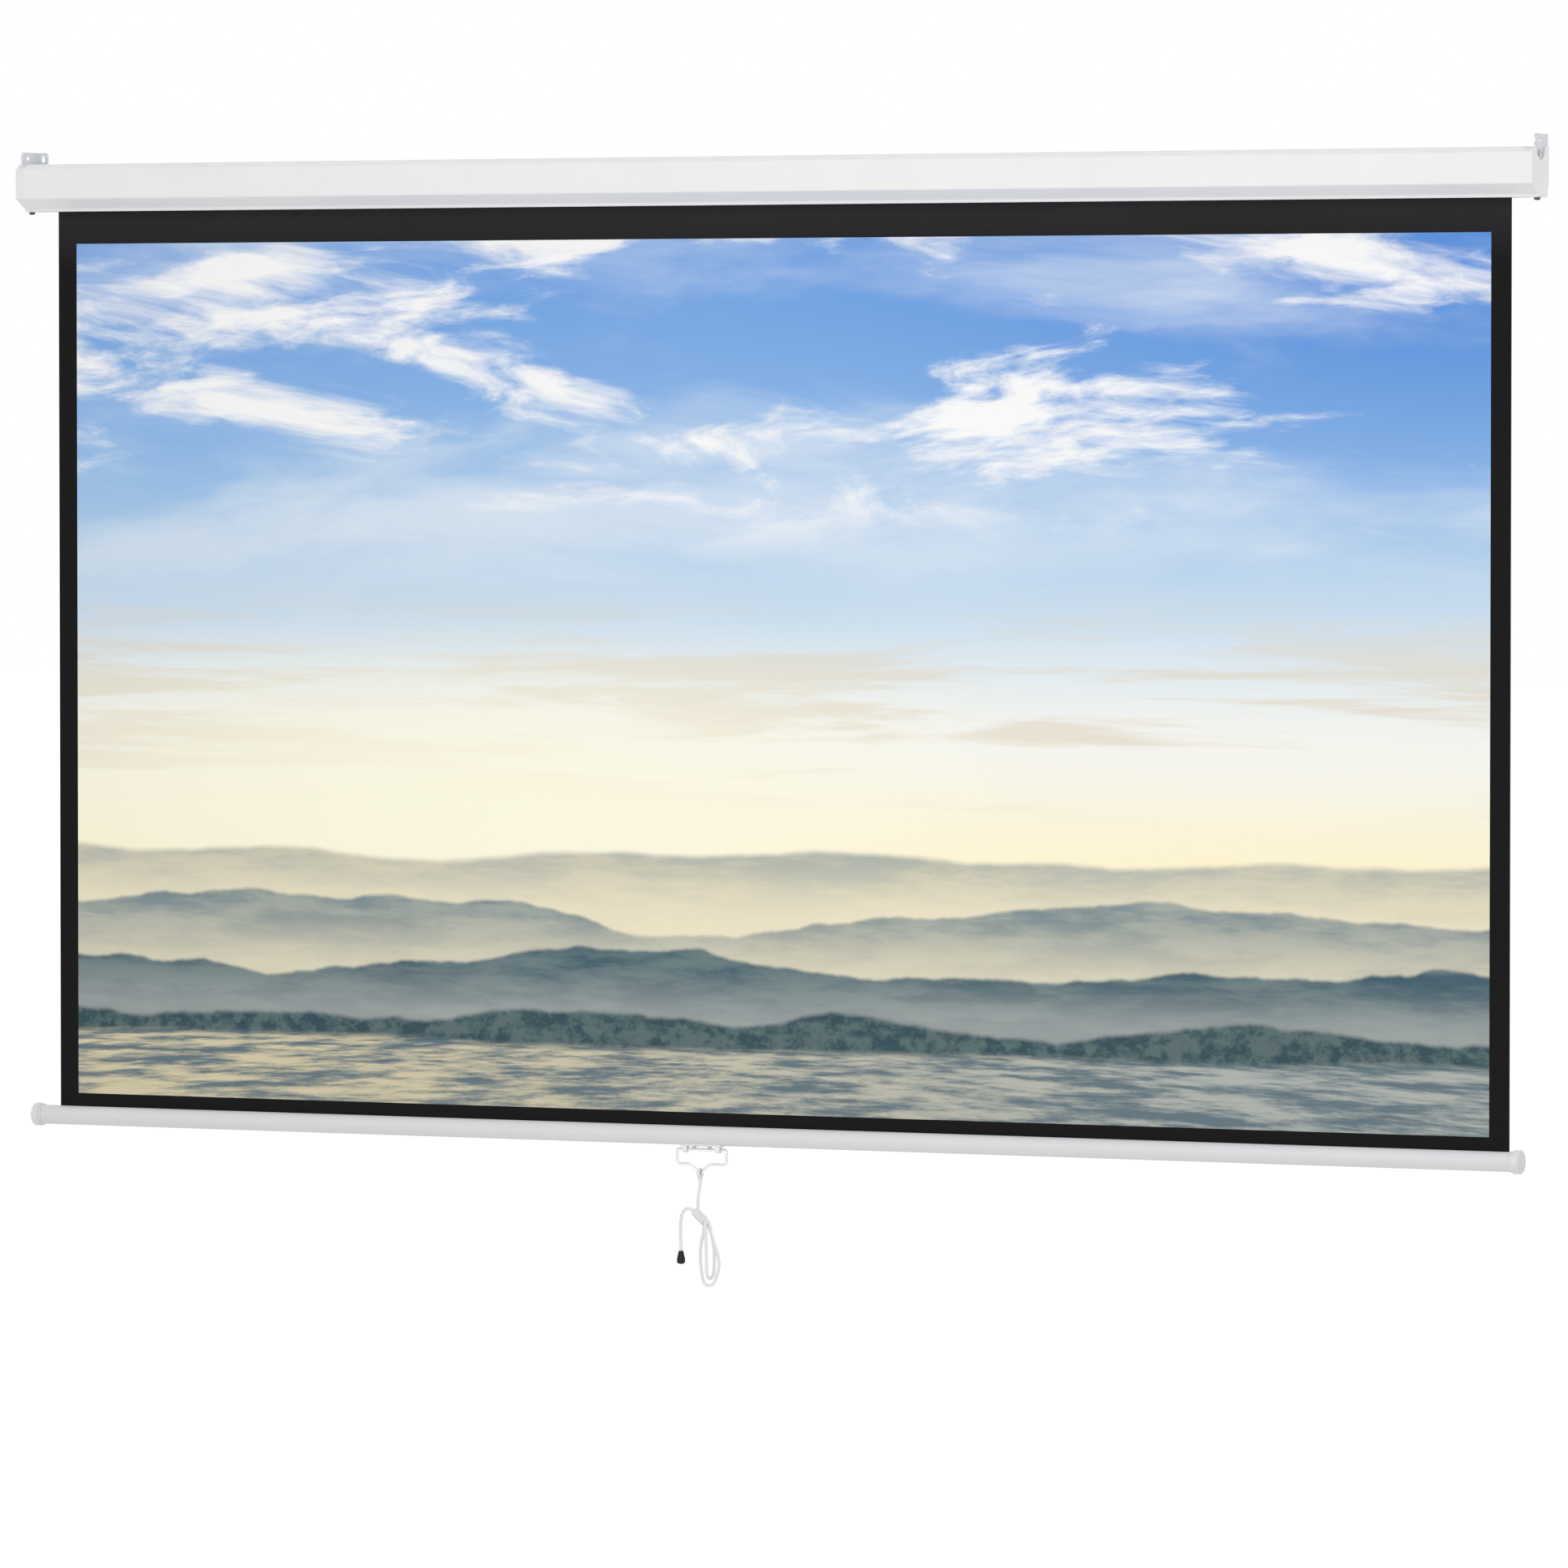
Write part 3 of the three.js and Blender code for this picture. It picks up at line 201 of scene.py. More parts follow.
def blend_of(tree, factor, first, second, kind="MIX"):
    """Two colours mixed by a factor."""
    return add_node(tree, "Mix", {0: factor, 6: first, 7: second},
                    data_type="RGBA", blend_type=kind).outputs[2]


tree, start, end = new_group(
    "mottle", [("Color", "Color", WHITE), ("Scale", "Float", 8.0), ("Amount", "Float", 0.1)],
    [("Color", "Color")])
patches = speckle(tree, object_place(tree), start["Scale"], 4.0, 0.55)
shade = sum_of(tree, "MULTIPLY_ADD", sum_of(tree, "SUBTRACT", patches, 0.5), start["Amount"], 1.0)
shade_colour = add_node(tree, "CombineColor", {0: shade, 1: shade, 2: shade}).outputs[0]
tree.links.new(blend_of(tree, 1.0, start["Color"], shade_colour, "MULTIPLY"), end["Color"])
mottle = tree

tree, start, end = new_group(
    "fine grain", [("Scale", "Float", 900.0), ("Smear", "Vector", (1, 1, 1))], [("Height", "Float")])
stretched = add_node(tree, "VectorMath", {0: object_place(tree), 1: start["Smear"]},
                     operation="MULTIPLY").outputs[0]
tree.links.new(speckle(tree, stretched, start["Scale"], 3.0, 0.6), end["Height"])
fine_grain = tree

tree, start, end = new_group(
    "settled dust",
    [("Color", "Color", WHITE), ("Dust", "Color", (0.5, 0.48, 0.44, 1)), ("Amount", "Float", 0.1)],
    [("Color", "Color"), ("Mask", "Float")])
normal = add_node(tree, "NewGeometry").outputs["True Normal"]
upward = ramp(tree, parts_of(tree, normal)["Z"], 0.375, 1.0)
drifts = ramp(tree, speckle(tree, object_place(tree), 30.0, 5.0), 1 / 3, 2 / 3)
drifted = sum_of(tree, "MULTIPLY", upward, drifts)
dust_mask = sum_of(tree, "MULTIPLY", drifted, start["Amount"])
tree.links.new(blend_of(tree, dust_mask, start["Color"], start["Dust"]), end["Color"])
tree.links.new(dust_mask, end["Mask"])
settled_dust = tree

tree, start, end = new_group(
    "plain weave", [("Threads per metre", "Float", 1400.0)], [("Height", "Float"), ("Gap", "Float")])
spot = parts_of(tree, object_place(tree))
half_turns = sum_of(tree, "MULTIPLY", start["Threads per metre"], pi)


def threads(distance):
    """How high the threads that lie across one direction stand, from 0 to 1."""
    swing = sum_of(tree, "SINE", sum_of(tree, "MULTIPLY", distance, half_turns))
    return sum_of(tree, "ABSOLUTE", swing)


warp, weft = threads(spot["X"]), threads(spot["Z"])
tree.links.new(sum_of(tree, "MULTIPLY", warp, weft), end["Height"])
gap = sum_of(tree, "SUBTRACT", 1.0, sum_of(tree, "MAXIMUM", warp, weft))
tree.links.new(gap, end["Gap"])
plain_weave = tree
print("shader groups:", [group.name for group in bpy.data.node_groups])

# %% [markdown]
# A finish is one Principled shader behind these groups. Powder coat has a faint orange peel, moulded plastic
# a finer grain, and zinc plate a broad spangle with rubbed roughness. A flat colour would look like paper.
# Numbers that don't change over a surface sit on the shader's own sockets.


# %% Finishes for hard pieces
def colour(*screen):
    """Red, green and blue on a screen, from 0 to 255, as the light that a shader works with."""
    channels = [value / 255 for value in screen]
    return (*[c / 12.92 if c <= 0.04045 else ((c + 0.055) / 1.055) ** 2.4 for c in channels], 1)


def new_finish(name, **constants):
    """A material with one Principled shader, and its tree."""
    made = bpy.data.materials.new(name)
    made.use_nodes = True
    tree = made.node_tree
    tree.nodes.clear()
    shader = add_node(tree, "BsdfPrincipled",
                      {socket.replace("_", " "): value for socket, value in constants.items()})
    add_node(tree, "OutputMaterial", {"Surface": shader.outputs[0]})
    return made, tree, shader.inputs


def group_with(tree, group, inputs):
    """What one of the shared groups gives for a finish's own values."""
    return add_node(tree, "Group", inputs, node_tree=group).outputs


def bump_of(tree, height, strength, depth):
    """A normal from a height, whose full depth is in millimetres."""
    return add_node(tree, "Bump",
                    {"Height": height, "Strength": strength, "Distance": depth * MM}).outputs["Normal"]


def hard_finish(name, base, rough, grain_scale, grain_depth, mottle_scale=9.0, mottle_amount=0.06,
                dust=0.05, smear=(1, 1, 1), rough_spread=0.12, **constants):
    """Paint, plastic or metal: a mottled screen colour, settled dust, grain and uneven gloss."""
    made, tree, shader = new_finish(name, **constants)
    tinted = group_with(tree, mottle, {
        "Color": colour(*base), "Scale": mottle_scale, "Amount": mottle_amount})
    dusty = group_with(tree, settled_dust, {"Color": tinted["Color"], "Amount": dust})
    grain = group_with(tree, fine_grain, {"Scale": grain_scale, "Smear": smear})
    tree.links.new(dusty["Color"], shader["Base Color"])
    uneven = sum_of(tree, "MULTIPLY_ADD", grain["Height"], rough_spread, rough - rough_spread / 2)
    tree.links.new(sum_of(tree, "ADD", uneven, dusty["Mask"], clamp=True), shader["Roughness"])
    tree.links.new(bump_of(tree, grain["Height"], 0.5, grain_depth), shader["Normal"])
    return made


powder_coat = hard_finish("white_powder_coat", (237, 238, 241), 0.4, 650.0, 0.05, dust=0.12,
                          Specular_IOR_Level=0.3)
bar_paint = hard_finish("weight_bar_paint", (221, 221, 225), 0.42, 700.0, 0.04, dust=0.1,
                        Specular_IOR_Level=0.3)
cap_plastic = hard_finish("cap_plastic", (235, 235, 238), 0.42, 1500.0, 0.04, 20.0, 0.05, dust=0.1)
bar_cap_plastic = hard_finish("bar_cap_plastic", (222, 222, 226), 0.42, 1500.0, 0.04, 20.0, 0.05, dust=0.1)
clip_plastic = hard_finish("clip_plastic", (242, 242, 244), 0.45, 1800.0, 0.04, 40.0, 0.05)
zinc_plate = hard_finish("zinc_plate", (212, 214, 218), 0.42, 500.0, 0.03, 120.0, 0.22,
                         rough_spread=0.25, Metallic=0.65)
screw_steel = hard_finish("screw_steel", (198, 200, 204), 0.34, 1800.0, 0.02, 260.0, 0.18,
                          smear=(1, 0.2, 1), Metallic=0.9)
dark_screw = hard_finish("dark_screw", (84, 85, 90), 0.4, 1600.0, 0.02, 200.0, 0.25, Metallic=0.8)
spring_steel = hard_finish("spring_steel", (112, 113, 118), 0.3, 900.0, 0.02, 160.0, 0.3, Metallic=0.95)
nylon = hard_finish("natural_nylon", (221, 219, 211), 0.5, 1300.0, 0.03, 30.0, 0.08)
plated_wire = hard_finish("bright_plated_wire", (226, 227, 231), 0.12, 1400.0, 0.008, 90.0, 0.08,
                          dust=0.02, rough_spread=0.08, Metallic=1.0)
tip_plastic = hard_finish("black_tip_plastic", (14, 14, 15), 0.42, 1600.0, 0.03, 120.0, 0.2, dust=0.02,
                          Specular_IOR_Level=0.3)

finish_of_slot = {"zinc_plate": zinc_plate, "screw_steel": screw_steel, "dark_screw": dark_screw,
                  "nylon": nylon}
print("finishes by slot:", sorted(finish_of_slot))

# %% [markdown]
# The sheet is black coated cloth: matt, with a weave that only shows close by. Its upper border is made paler
# by a painted sheen, and the gaps between threads are darkened by painted shade. The weave could be geometry,
# but at a thread to the millimetre a bump is enough.

# %% Cloth finish
black_cloth, tree, shader = new_finish("black_coated_cloth", Roughness=0.85, Specular_IOR_Level=0.12)
# Painted sheen: the cloth gets paler towards its top, in place of light caught by the upper border.
painted_sheen_top = ramp(tree, parts_of(tree, object_place(tree))["Z"], -0.12, -0.05)
base = blend_of(tree, painted_sheen_top, colour(24, 24, 26), colour(47, 47, 51))
tinted = group_with(tree, mottle, {"Color": base, "Scale": 3.0, "Amount": 0.25})
weave = group_with(tree, plain_weave, {"Threads per metre": 1200.0})
# Painted shade: the gaps between threads are darkened towards black.
painted_gap_shade = sum_of(tree, "MULTIPLY", weave["Gap"], 0.5)
tree.links.new(blend_of(tree, painted_gap_shade, tinted["Color"], (0, 0, 0, 1)), shader["Base Color"])
tree.links.new(bump_of(tree, weave["Height"], 0.6, 0.12), shader["Normal"])
print("black cloth:", len(tree.nodes), "nodes")

# %% [markdown]
# The picture side is a matt white coating with a made-up evening landscape. An image file would hold
# someone's picture, so one shader group paints it from back to front: sky, cloud, a glow, ranges of hills
# with mist at their feet, trees and a plain. Each layer is a mask between two colours, and places run from 0
# to 1, across and up.

# %% Picture tools
landscape, start, end = new_group(
    "evening landscape", [("Across", "Float", 0.0), ("Up", "Float", 0.0)], [("Color", "Color")])
across, up = start["Across"], start["Up"]


def times(first, second):
    """Two values of the picture, multiplied."""
    return sum_of(landscape, "MULTIPLY", first, second)


def minus(first, second):
    """One value of the picture less another."""
    return sum_of(landscape, "SUBTRACT", first, second)


def over(mask, below, above):
    """One layer of paint over another."""
    return blend_of(landscape, mask, below, above)


def joined(x, y, z=0.0):
    """Three values of the picture as one vector."""
    return add_node(landscape, "CombineXYZ", {0: x, 1: y, 2: z}).outputs[0]


def picture_noise(stretch_x, stretch_y, shift, detail, roughness):
    """A noise over the picture, stretched and shifted."""
    place = joined(times(across, stretch_x), times(up, stretch_y), shift)
    return speckle(landscape, place, 1.0, detail, roughness)


def eased(value, low, high, top=1.0):
    """0 below low and top above high, with a smooth rise between."""
    return ramp(landscape, value, low, high, 0.0, top, "SMOOTHSTEP")


def ridge(base, size, frequency, shift, softness):
    """A mask of everything below one line of hills."""
    line = picture_noise(frequency, 0.0, shift, 6.0, 0.5)
    crest = sum_of(landscape, "MULTIPLY_ADD", minus(line, 0.5), size, base)
    return eased(minus(crest, up), -softness, softness)


def cloud_layer(stretch_x, stretch_y, shift, low, high, bottom, top, most):
    """Where one layer of cloud is: a noise bent by a slower one, thinner near the ground."""
    slow = picture_noise(stretch_x * 0.7, stretch_y * 0.7, shift + 11.0, 3.0, 0.5)
    place = joined(times(across, stretch_x), times(up, stretch_y), shift)
    push = joined(times(slow, 1.4), times(slow, -0.9))
    bent = add_node(landscape, "VectorMath", {0: place, 1: push}, operation="ADD").outputs[0]
    cover = speckle(landscape, bent, 1.0, 11.0, 0.6)
    return times(eased(cover, low, high), eased(up, bottom, top, most))


# %% Sky, clouds and glow
painted = colour(255, 246, 212)
for low, high, paint in ((0.28, 0.43, (246, 247, 242)), (0.41, 0.6, (206, 226, 242)),
                         (0.5, 0.78, (150, 192, 236)), (0.66, 1.0, (112, 162, 228))):
    painted = over(eased(up, low, high), painted, colour(*paint))
deep_corner = times(eased(across, 0.4, 1.0, 0.7), eased(up, 0.6, 0.95))
painted = over(deep_corner, painted, colour(78, 136, 218))
veil = cloud_layer(2.2, 4.6, 3.1, 0.4, 0.68, 0.5, 0.7, 0.75)
heaps = cloud_layer(4.4, 8.5, 6.4, 0.5, 0.62, 0.62, 0.74, 0.95)
bars = cloud_layer(3.4, 26.0, 8.4, 0.47, 0.6, 0.33, 0.4, 0.6)
low_bars = times(bars, minus(1.0, eased(up, 0.48, 0.62)))
for cloud, paint in ((veil, (226, 236, 247)), (heaps, (252, 252, 252)), (low_bars, (222, 211, 190))):
    painted = over(cloud, painted, colour(*paint))
glow_across, glow_up, glow_reach = 0.27, 0.34, 0.6
glow_x = times(minus(across, glow_across), 1.1)
glow_y = times(minus(up, glow_up), 2.4)
glow_far = sum_of(landscape, "SQRT", sum_of(landscape, "ADD", times(glow_x, glow_x), times(glow_y, glow_y)))
glow = minus(1.0, eased(glow_far, 0.02, glow_reach))
painted = over(times(glow, 0.95), painted, colour(255, 253, 232))
print("sky:", len(landscape.nodes), "nodes")

# %% Hills and plain
slope_light = picture_noise(11.0, 30.0, 2.5, 10.0, 0.65)
warm_mist, cool_mist = colour(246, 236, 206), colour(196, 200, 196)
# Crest, relief, hills across, shift and edge, slopes away from and to the light, then the mist at the foot.
ranges = [(0.295, 0.12, 2.4, 4.0, 0.005, (176, 182, 174), (206, 203, 184), 0.3, 0.22, warm_mist, 0.8),
          (0.235, 0.15, 3.4, 9.3, 0.003, (124, 142, 148), (164, 172, 166), 0.24, 0.15, warm_mist, 0.65),
          (0.17, 0.12, 4.8, 14.6, 0.003, (66, 94, 108), (108, 128, 132), 0.17, 0.1, cool_mist, 0.5)]
for crest, relief, hills, shift, edge, shaded, lit, mist_top, mist_bottom, mist, mist_share in ranges:
    slope = over(eased(slope_light, 0.38, 0.62), colour(*shaded), colour(*lit))
    depth = minus(mist_share, eased(up, mist_bottom, mist_top, mist_share))
    painted = over(ridge(crest, relief, hills, shift, edge), painted, over(depth, slope, mist))
trees = picture_noise(90.0, 60.0, 5.5, 6.0, 0.65)
wooded = over(eased(trees, 0.4, 0.6), colour(52, 78, 88), colour(90, 110, 112))
painted = over(ridge(0.105, 0.09, 6.6, 21.9, 0.004), painted, wooded)
plain_horizon, eye_height = 0.2, 0.05
distance = sum_of(landscape, "DIVIDE", eye_height, minus(plain_horizon, up))
ground_place = joined(times(minus(across, 0.5), times(distance, 26.0)), times(distance, 22.0), 1.7)
tufts = speckle(landscape, ground_place, 1.8, 12.0, 0.7)
sand = over(eased(across, 0.1, 0.9), colour(214, 204, 172), colour(174, 180, 176))
plain = over(eased(tufts, 0.4, 0.6), colour(98, 118, 128), sand)
painted = over(ridge(0.075, 0.04, 3.8, 27.2, 0.006), painted, plain)
landscape.links.new(painted, end["Color"])
print("landscape:", len(landscape.nodes), "nodes")

# %% Picture coating
picture_coating, tree, shader = new_finish("picture_coating", Roughness=0.7, Specular_IOR_Level=0.2)
picture_uv = parts_of(tree, add_node(tree, "UVMap", uv_map="picture").outputs[0])
shown = group_with(tree, landscape, {"Across": picture_uv["X"], "Up": picture_uv["Y"]})
tree.links.new(shown["Color"], shader["Base Color"])
weave = group_with(tree, plain_weave, {"Threads per metre": 1600.0})
tree.links.new(bump_of(tree, weave["Height"], 0.25, 0.05), shader["Normal"])
print("picture coating:", len(tree.nodes), "nodes")

# %% [markdown]
# Pieces are shaped as bmeshes and finished in one place, with the body and slot that the record gives their
# node. Faces that meet gently are shaded as one curve. A subdivision surface would soften flat sheet metal,
# so edges get small bevels, and weighted normals keep large flat faces flat beside them.

# %% Finish a piece
bodies = frame["record"]["behaviour"]["bodies"]
body_of_node = {node: body for body, nodes in bodies.items() for node in nodes}
slot_of_node = {subpart["node"]: subpart["material_slot"] for subpart in frame["record"]["subparts"]}


def finished(name, shape, node, finish, hides=True, sharp=35, thickness=0.0, offset=-1.0):
    """Make a piece of a bmesh, with crisp edges only where faces meet at more than the sharp angle.

    It takes a node's body, and hides that node unless it's an extra.
    """
    shape.normal_update()
    for face in shape.faces:
        face.smooth = True
    for edge in shape.edges:
        edge.smooth = edge.is_manifold and edge.calc_face_angle() < radians(sharp)
    mesh = bpy.data.meshes.new(name)
    shape.to_mesh(mesh)
    shape.free()
    made = in_scene(name, mesh)
    mesh.materials.append(finish)
    if thickness:
        wall = made.modifiers.new("thickness", "SOLIDIFY")
        wall.thickness = thickness * MM
        wall.offset = offset
        wall.use_even_offset = True
    level = made.modifiers.new("flat faces stay flat", "WEIGHTED_NORMAL")
    level.keep_sharp = True
    if hides:
        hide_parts(node)
    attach(made, body_of_node[node])
    print(f"{name}: {len(mesh.polygons)} faces")
    return made


def bevel_edges(shape, edges, width, segments):
    """Round some edges, with a width in millimetres."""
    bmesh.ops.bevel(shape, geom=list(edges), offset=width * MM, offset_type="OFFSET", affect="EDGES",
                    segments=segments, profile=0.5, material=-1, clamp_overlap=True)


def verts_of(geometry):
    """The vertices among what an operator made."""
    return [part for part in geometry if isinstance(part, bmesh.types.BMVert)]


def outline_along_x(points, start, end):
    """A thin sheet: an outline of (y, z) places in millimetres, drawn out along X."""
    shape = bmesh.new()
    corners = [shape.verts.new(mm(start, y, z)) for y, z in points]
    edges = [shape.edges.new(pair) for pair in zip(corners, corners[1:])]
    drawn = bmesh.ops.extrude_edge_only(shape, edges=edges)["geom"]
    bmesh.ops.translate(shape, verts=verts_of(drawn), vec=mm(end - start, 0, 0))
    return shape


def face_outwards(shape, towards, place):
    """Turn an open sheet over if the face nearest a place looks the other way."""
    shape.normal_update()
    nearest = min(shape.faces, key=lambda face: (face.calc_center_median() - place).length)
    if nearest.normal.dot(towards) < 0:
        bmesh.ops.reverse_faces(shape, faces=shape.faces)


# %% [markdown]
# The casing is one strip of sheet steel, folded along its length and open below, where the cloth runs out.
# Each fold has a small radius that catches the light. A box with a slot would need its wall cut out. Folding
# is simpler: an outline with sharp corners is drawn out, its fold lines are bevelled round, and the sheet
# gets its thickness inwards. It ends a hair under the caps' seams.

# %% Casing
casing_wall = 1.2
fold_radius = 2.2
shell_half = 1169.95
shell_outline = [(-8, -30.5), (-8, -34.5), (0, -34.5), (0, 34.5), (-53, 34.5), (-65, 26.5), (-65, -16),
                 (-39, -31), (-39, -34.5), (-30, -34.5), (-30, -30.5)]
shell = outline_along_x(shell_outline, -shell_half, shell_half)
folds = [edge for edge in shell.edges if edge.is_manifold]
bevel_edges(shell, folds, fold_radius, 4)
face_outwards(shell, Vector((0, -1, 0)), mm(0, -65, 5))
finished("casing_shell_folded", shell, "casing_shell", powder_coat, sharp=50, thickness=casing_wall)

# %% [markdown]
# End caps, hanger brackets and the handle's clip have the right main form in the CAD, but not the small
# radius that moulding and pressing leave on outer edges. They could be modelled anew, but a copy of the
# node's mesh is merged, its flat faces are joined up again, and its sharp edges bevelled.


# %% Rounded copies of CAD pieces
def sharp_edges(shape, wanted=None):
    """The edges where faces meet sharply, or those of them that are wanted."""
    shape.normal_update()
    return [edge for edge in shape.edges if edge.is_manifold
            and edge.calc_face_angle() > radians(sharp_angle) and (wanted is None or wanted(edge))]


def rounded_copy(node, ending, finish, width, segments=3, keep=None, soft=None, soft_width=0.0):
    """Bevel the sharp edges of a node's merged mesh, some of them first with a wider radius."""
    shape = bmesh.new()
    shape.from_mesh(frame["nodes"][node].data)
    bmesh.ops.remove_doubles(shape, verts=shape.verts, dist=merge_gap * MM)
    bmesh.ops.dissolve_limit(shape, angle_limit=radians(1), verts=shape.verts, edges=shape.edges)
    if soft:
        bevel_edges(shape, sharp_edges(shape, soft), soft_width, soft_segments)
    bevel_edges(shape, sharp_edges(shape, keep), width, segments)
    return finished(f"{node}_{ending}", shape, node, finish)


def on_outside(edge):
    """Edges of the cap's outer skin, without its spigot, its posts and its seam."""
    reach = [abs(v.co.x) / MM for v in edge.verts]
    return min(reach) > seam_reach - 0.1 and max(reach) > seam_reach + 0.1


def on_end_corner(edge):
    """The corner between the cap's end and its front, with both slopes."""
    return all(abs(v.co.x) > end_face_reach * MM and (v.co.y < cap_front * MM or v.co.z < cap_foot * MM)
               for v in edge.verts)


merge_gap, sharp_angle, soft_segments = 0.002, 40, 6
seam_reach, end_face_reach = 1170.0, 1182.0
cap_front, cap_foot = -52.9, -15.9
for side in ("left", "right"):
    rounded_copy(f"{side}_end_cap", "moulded", cap_plastic, 0.8, keep=on_outside, soft=on_end_corner,
                 soft_width=4.4)
    rounded_copy(f"{side}_hanger_bracket", "pressed", zinc_plate, 0.45)

# %% [markdown]
# Screws, brackets, plugs and the ratchet's parts are turned, moulded or stamped. Most hide inside the casing,
# so new models would show little. They get the same light rounding.

# %% Screws and inner parts
screws = ["hanger_screw", "foot_screw", "upper_bracket_screw", "lower_bracket_screw", "clip_rivet"]
small_parts = [f"{side}_{screw}" for screw in screws for side in ("left", "right")]
small_parts += ["spindle_bracket", "spindle", "ratchet_wheel", "spring_hub", "gudgeon_bracket",
                "gudgeon_bush", "roller_tube", "ratchet_plug", "upper_pawl", "lower_pawl", "rod_end_bush",
                "gudgeon_plug", "hem_rod"]
for node in small_parts:
    rounded_copy(node, "rounded", finish_of_slot[slot_of_node[node]], 0.25, segments=2)

# %% [markdown]
# The cloth hangs from the roller to the weight bar as one thin sheet. Real cloth is never quite flat. A
# simulation would be slow for a taut sheet this wide, so a fine grid is moved by under half a millimetre, in
# long waves that die out at the roller and the bar.

# %% Waves in the cloth
sheet_y = -19.0
cloth_half, cloth_top, cloth_bottom = 1137.0, 1.7, -1326.5
picture_half, picture_top = 1107.0, -81.5
wave_height = 0.4
calm_top, calm_reach, calm_foot = 0.05, 0.25, 0.12
waves_across, waves_down, wave_row = 2.3, 1.1, 0.4
grid_step_x, grid_step_z = 20.68, 20.1


def wave_at(x, z):
    """How far the cloth stands forwards at a place, in metres."""
    from_top = min(max((-z - calm_top) / calm_reach, 0), 1)
    from_bottom = min(max((z - cloth_bottom * MM) / calm_foot, 0), 1)
    calm = from_top * from_bottom
    return noise.noise(Vector((x * waves_across, wave_row, z * waves_down))) * wave_height * MM * calm


def hung_grid(half_width, top, bottom, front, back):
    """A closed thin sheet with waves, from y = front to y = back, in millimetres."""
    shape = bmesh.new()
    columns, rows = round(2 * half_width / grid_step_x), round((top - bottom) / grid_step_z)
    made = bmesh.ops.create_grid(shape, x_segments=columns, y_segments=rows, size=0.5)
    bmesh.ops.scale(shape, vec=(2 * half_width * MM, (top - bottom) * MM, 1), verts=made["verts"])
    bmesh.ops.rotate(shape, matrix=Matrix.Rotation(radians(90), 3, "X"), verts=made["verts"])
    bmesh.ops.translate(shape, vec=mm(0, front, (top + bottom) / 2), verts=made["verts"])
    face_outwards(shape, Vector((0, -1, 0)), mm(0, front, 0))
    shape.normal_update()
    drawn = bmesh.ops.extrude_face_region(shape, geom=list(shape.faces), use_keep_orig=True)["geom"]
    bmesh.ops.translate(shape, verts=verts_of(drawn), vec=mm(0, back - front, 0))
    bmesh.ops.recalc_face_normals(shape, faces=shape.faces)
    for vert in shape.verts:
        vert.co.y += wave_at(vert.co.x, vert.co.z)
    return shape


# %% Hung cloth and picture
cloth_face, coating_face, coating_back = 0.225, 0.375, 0.23
cloth_shape = hung_grid(cloth_half, cloth_top, cloth_bottom, sheet_y - cloth_face, sheet_y + cloth_face)
cloth = finished("cloth_sheet", cloth_shape, "screen_fabric", black_cloth)
picture_shape = hung_grid(picture_half, picture_top, cloth_bottom, sheet_y - coating_face,
                          sheet_y - coating_back)
picture_layer = picture_shape.loops.layers.uv.new("picture")
for face in picture_shape.faces:
    for loop in face.loops:
        place = loop.vert.co / MM
        loop[picture_layer].uv = ((place.x + picture_half) / (2 * picture_half),
                                  (place.z - cloth_bottom) / (picture_top - cloth_bottom))
picture = finished("picture_coating_sheet", picture_shape, "viewing_surface", picture_coating)
for hung in (cloth, picture):
    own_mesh(hung)

# %% [markdown]
# The cloth's last turns stay on the roller as a spiral, whose outer end is where the hanging cloth starts.
# Below, it goes through the weight bar's slot and ends in a sewn loop round a rod. A solid roll would be
# cheaper, but its end shows the turns. Both are outlines drawn out along X, with the cloth's thickness.

# %% Wound cloth and hem
roller_y, roller_z = -37.775, 2.0
winding_outer, winding_pitch, winding_turns = 18.55, 1.0, 2.25
steps_per_turn = 60
cloth_thickness = 0.45


def on_circle(y, z, radius, angle):
    """A place (y, z) on a circle about an axis along X."""
    return y + radius * cos(angle), z + radius * sin(angle)


spiral = []
for i in range(round(winding_turns * steps_per_turn) + 1):
    turned = i / steps_per_turn
    radius = winding_outer + cloth_thickness / 2 - turned * winding_pitch
    spiral.append(on_circle(roller_y, roller_z, radius, FULL_TURN * turned))
wound = outline_along_x(spiral, -cloth_half, cloth_half)
finished("cloth_winding", wound, "fabric_winding", black_cloth, thickness=cloth_thickness, offset=0.0)

bar_x, bar_z = -12.0, -1359.5
hem_rise = 8.7036
hem_z = bar_z + hem_rise
hem_radius, hem_steps = 3.75, 36
hem_start = radians(90)
hem_outline = [(sheet_y, cloth_bottom + 0.1)]
hem_outline += [on_circle(sheet_y, hem_z, hem_radius, hem_start + FULL_TURN * i / hem_steps)
                for i in range(hem_steps)]
hem = outline_along_x(hem_outline, -cloth_half, cloth_half)
finished("cloth_hem", hem, "hem_strip", black_cloth, thickness=cloth_thickness, offset=0.0)

# %% [markdown]
# The weight bar is a slotted tube of painted steel with a moulded cap at each end. A pipe with a cut in it
# needs a boolean, so the tube is an arc drawn out along X. The caps are turned: a profile of a few corners is
# spun round the bar's axis, with a narrow collar where the cap meets the tube.

# %% Weight bar
bar_radius, bar_wall, bar_half, slot_half = 14.0, 1.2, 1152.0, 2.25
slot_angle = asin(slot_half / bar_radius)
arc_start, arc_sweep, arc_steps = radians(90) + slot_angle, FULL_TURN - 2 * slot_angle, 84
arc = [on_circle(sheet_y, bar_z, bar_radius, arc_start + arc_sweep * i / arc_steps)
       for i in range(arc_steps + 1)]
tube = outline_along_x(arc, bar_x - bar_half, bar_x + bar_half)
face_outwards(tube, Vector((0, 0, -1)), mm(bar_x, sheet_y, bar_z - bar_radius))
finished("weight_bar_slotted_tube", tube, "weight_bar_tube", bar_paint, thickness=bar_wall)


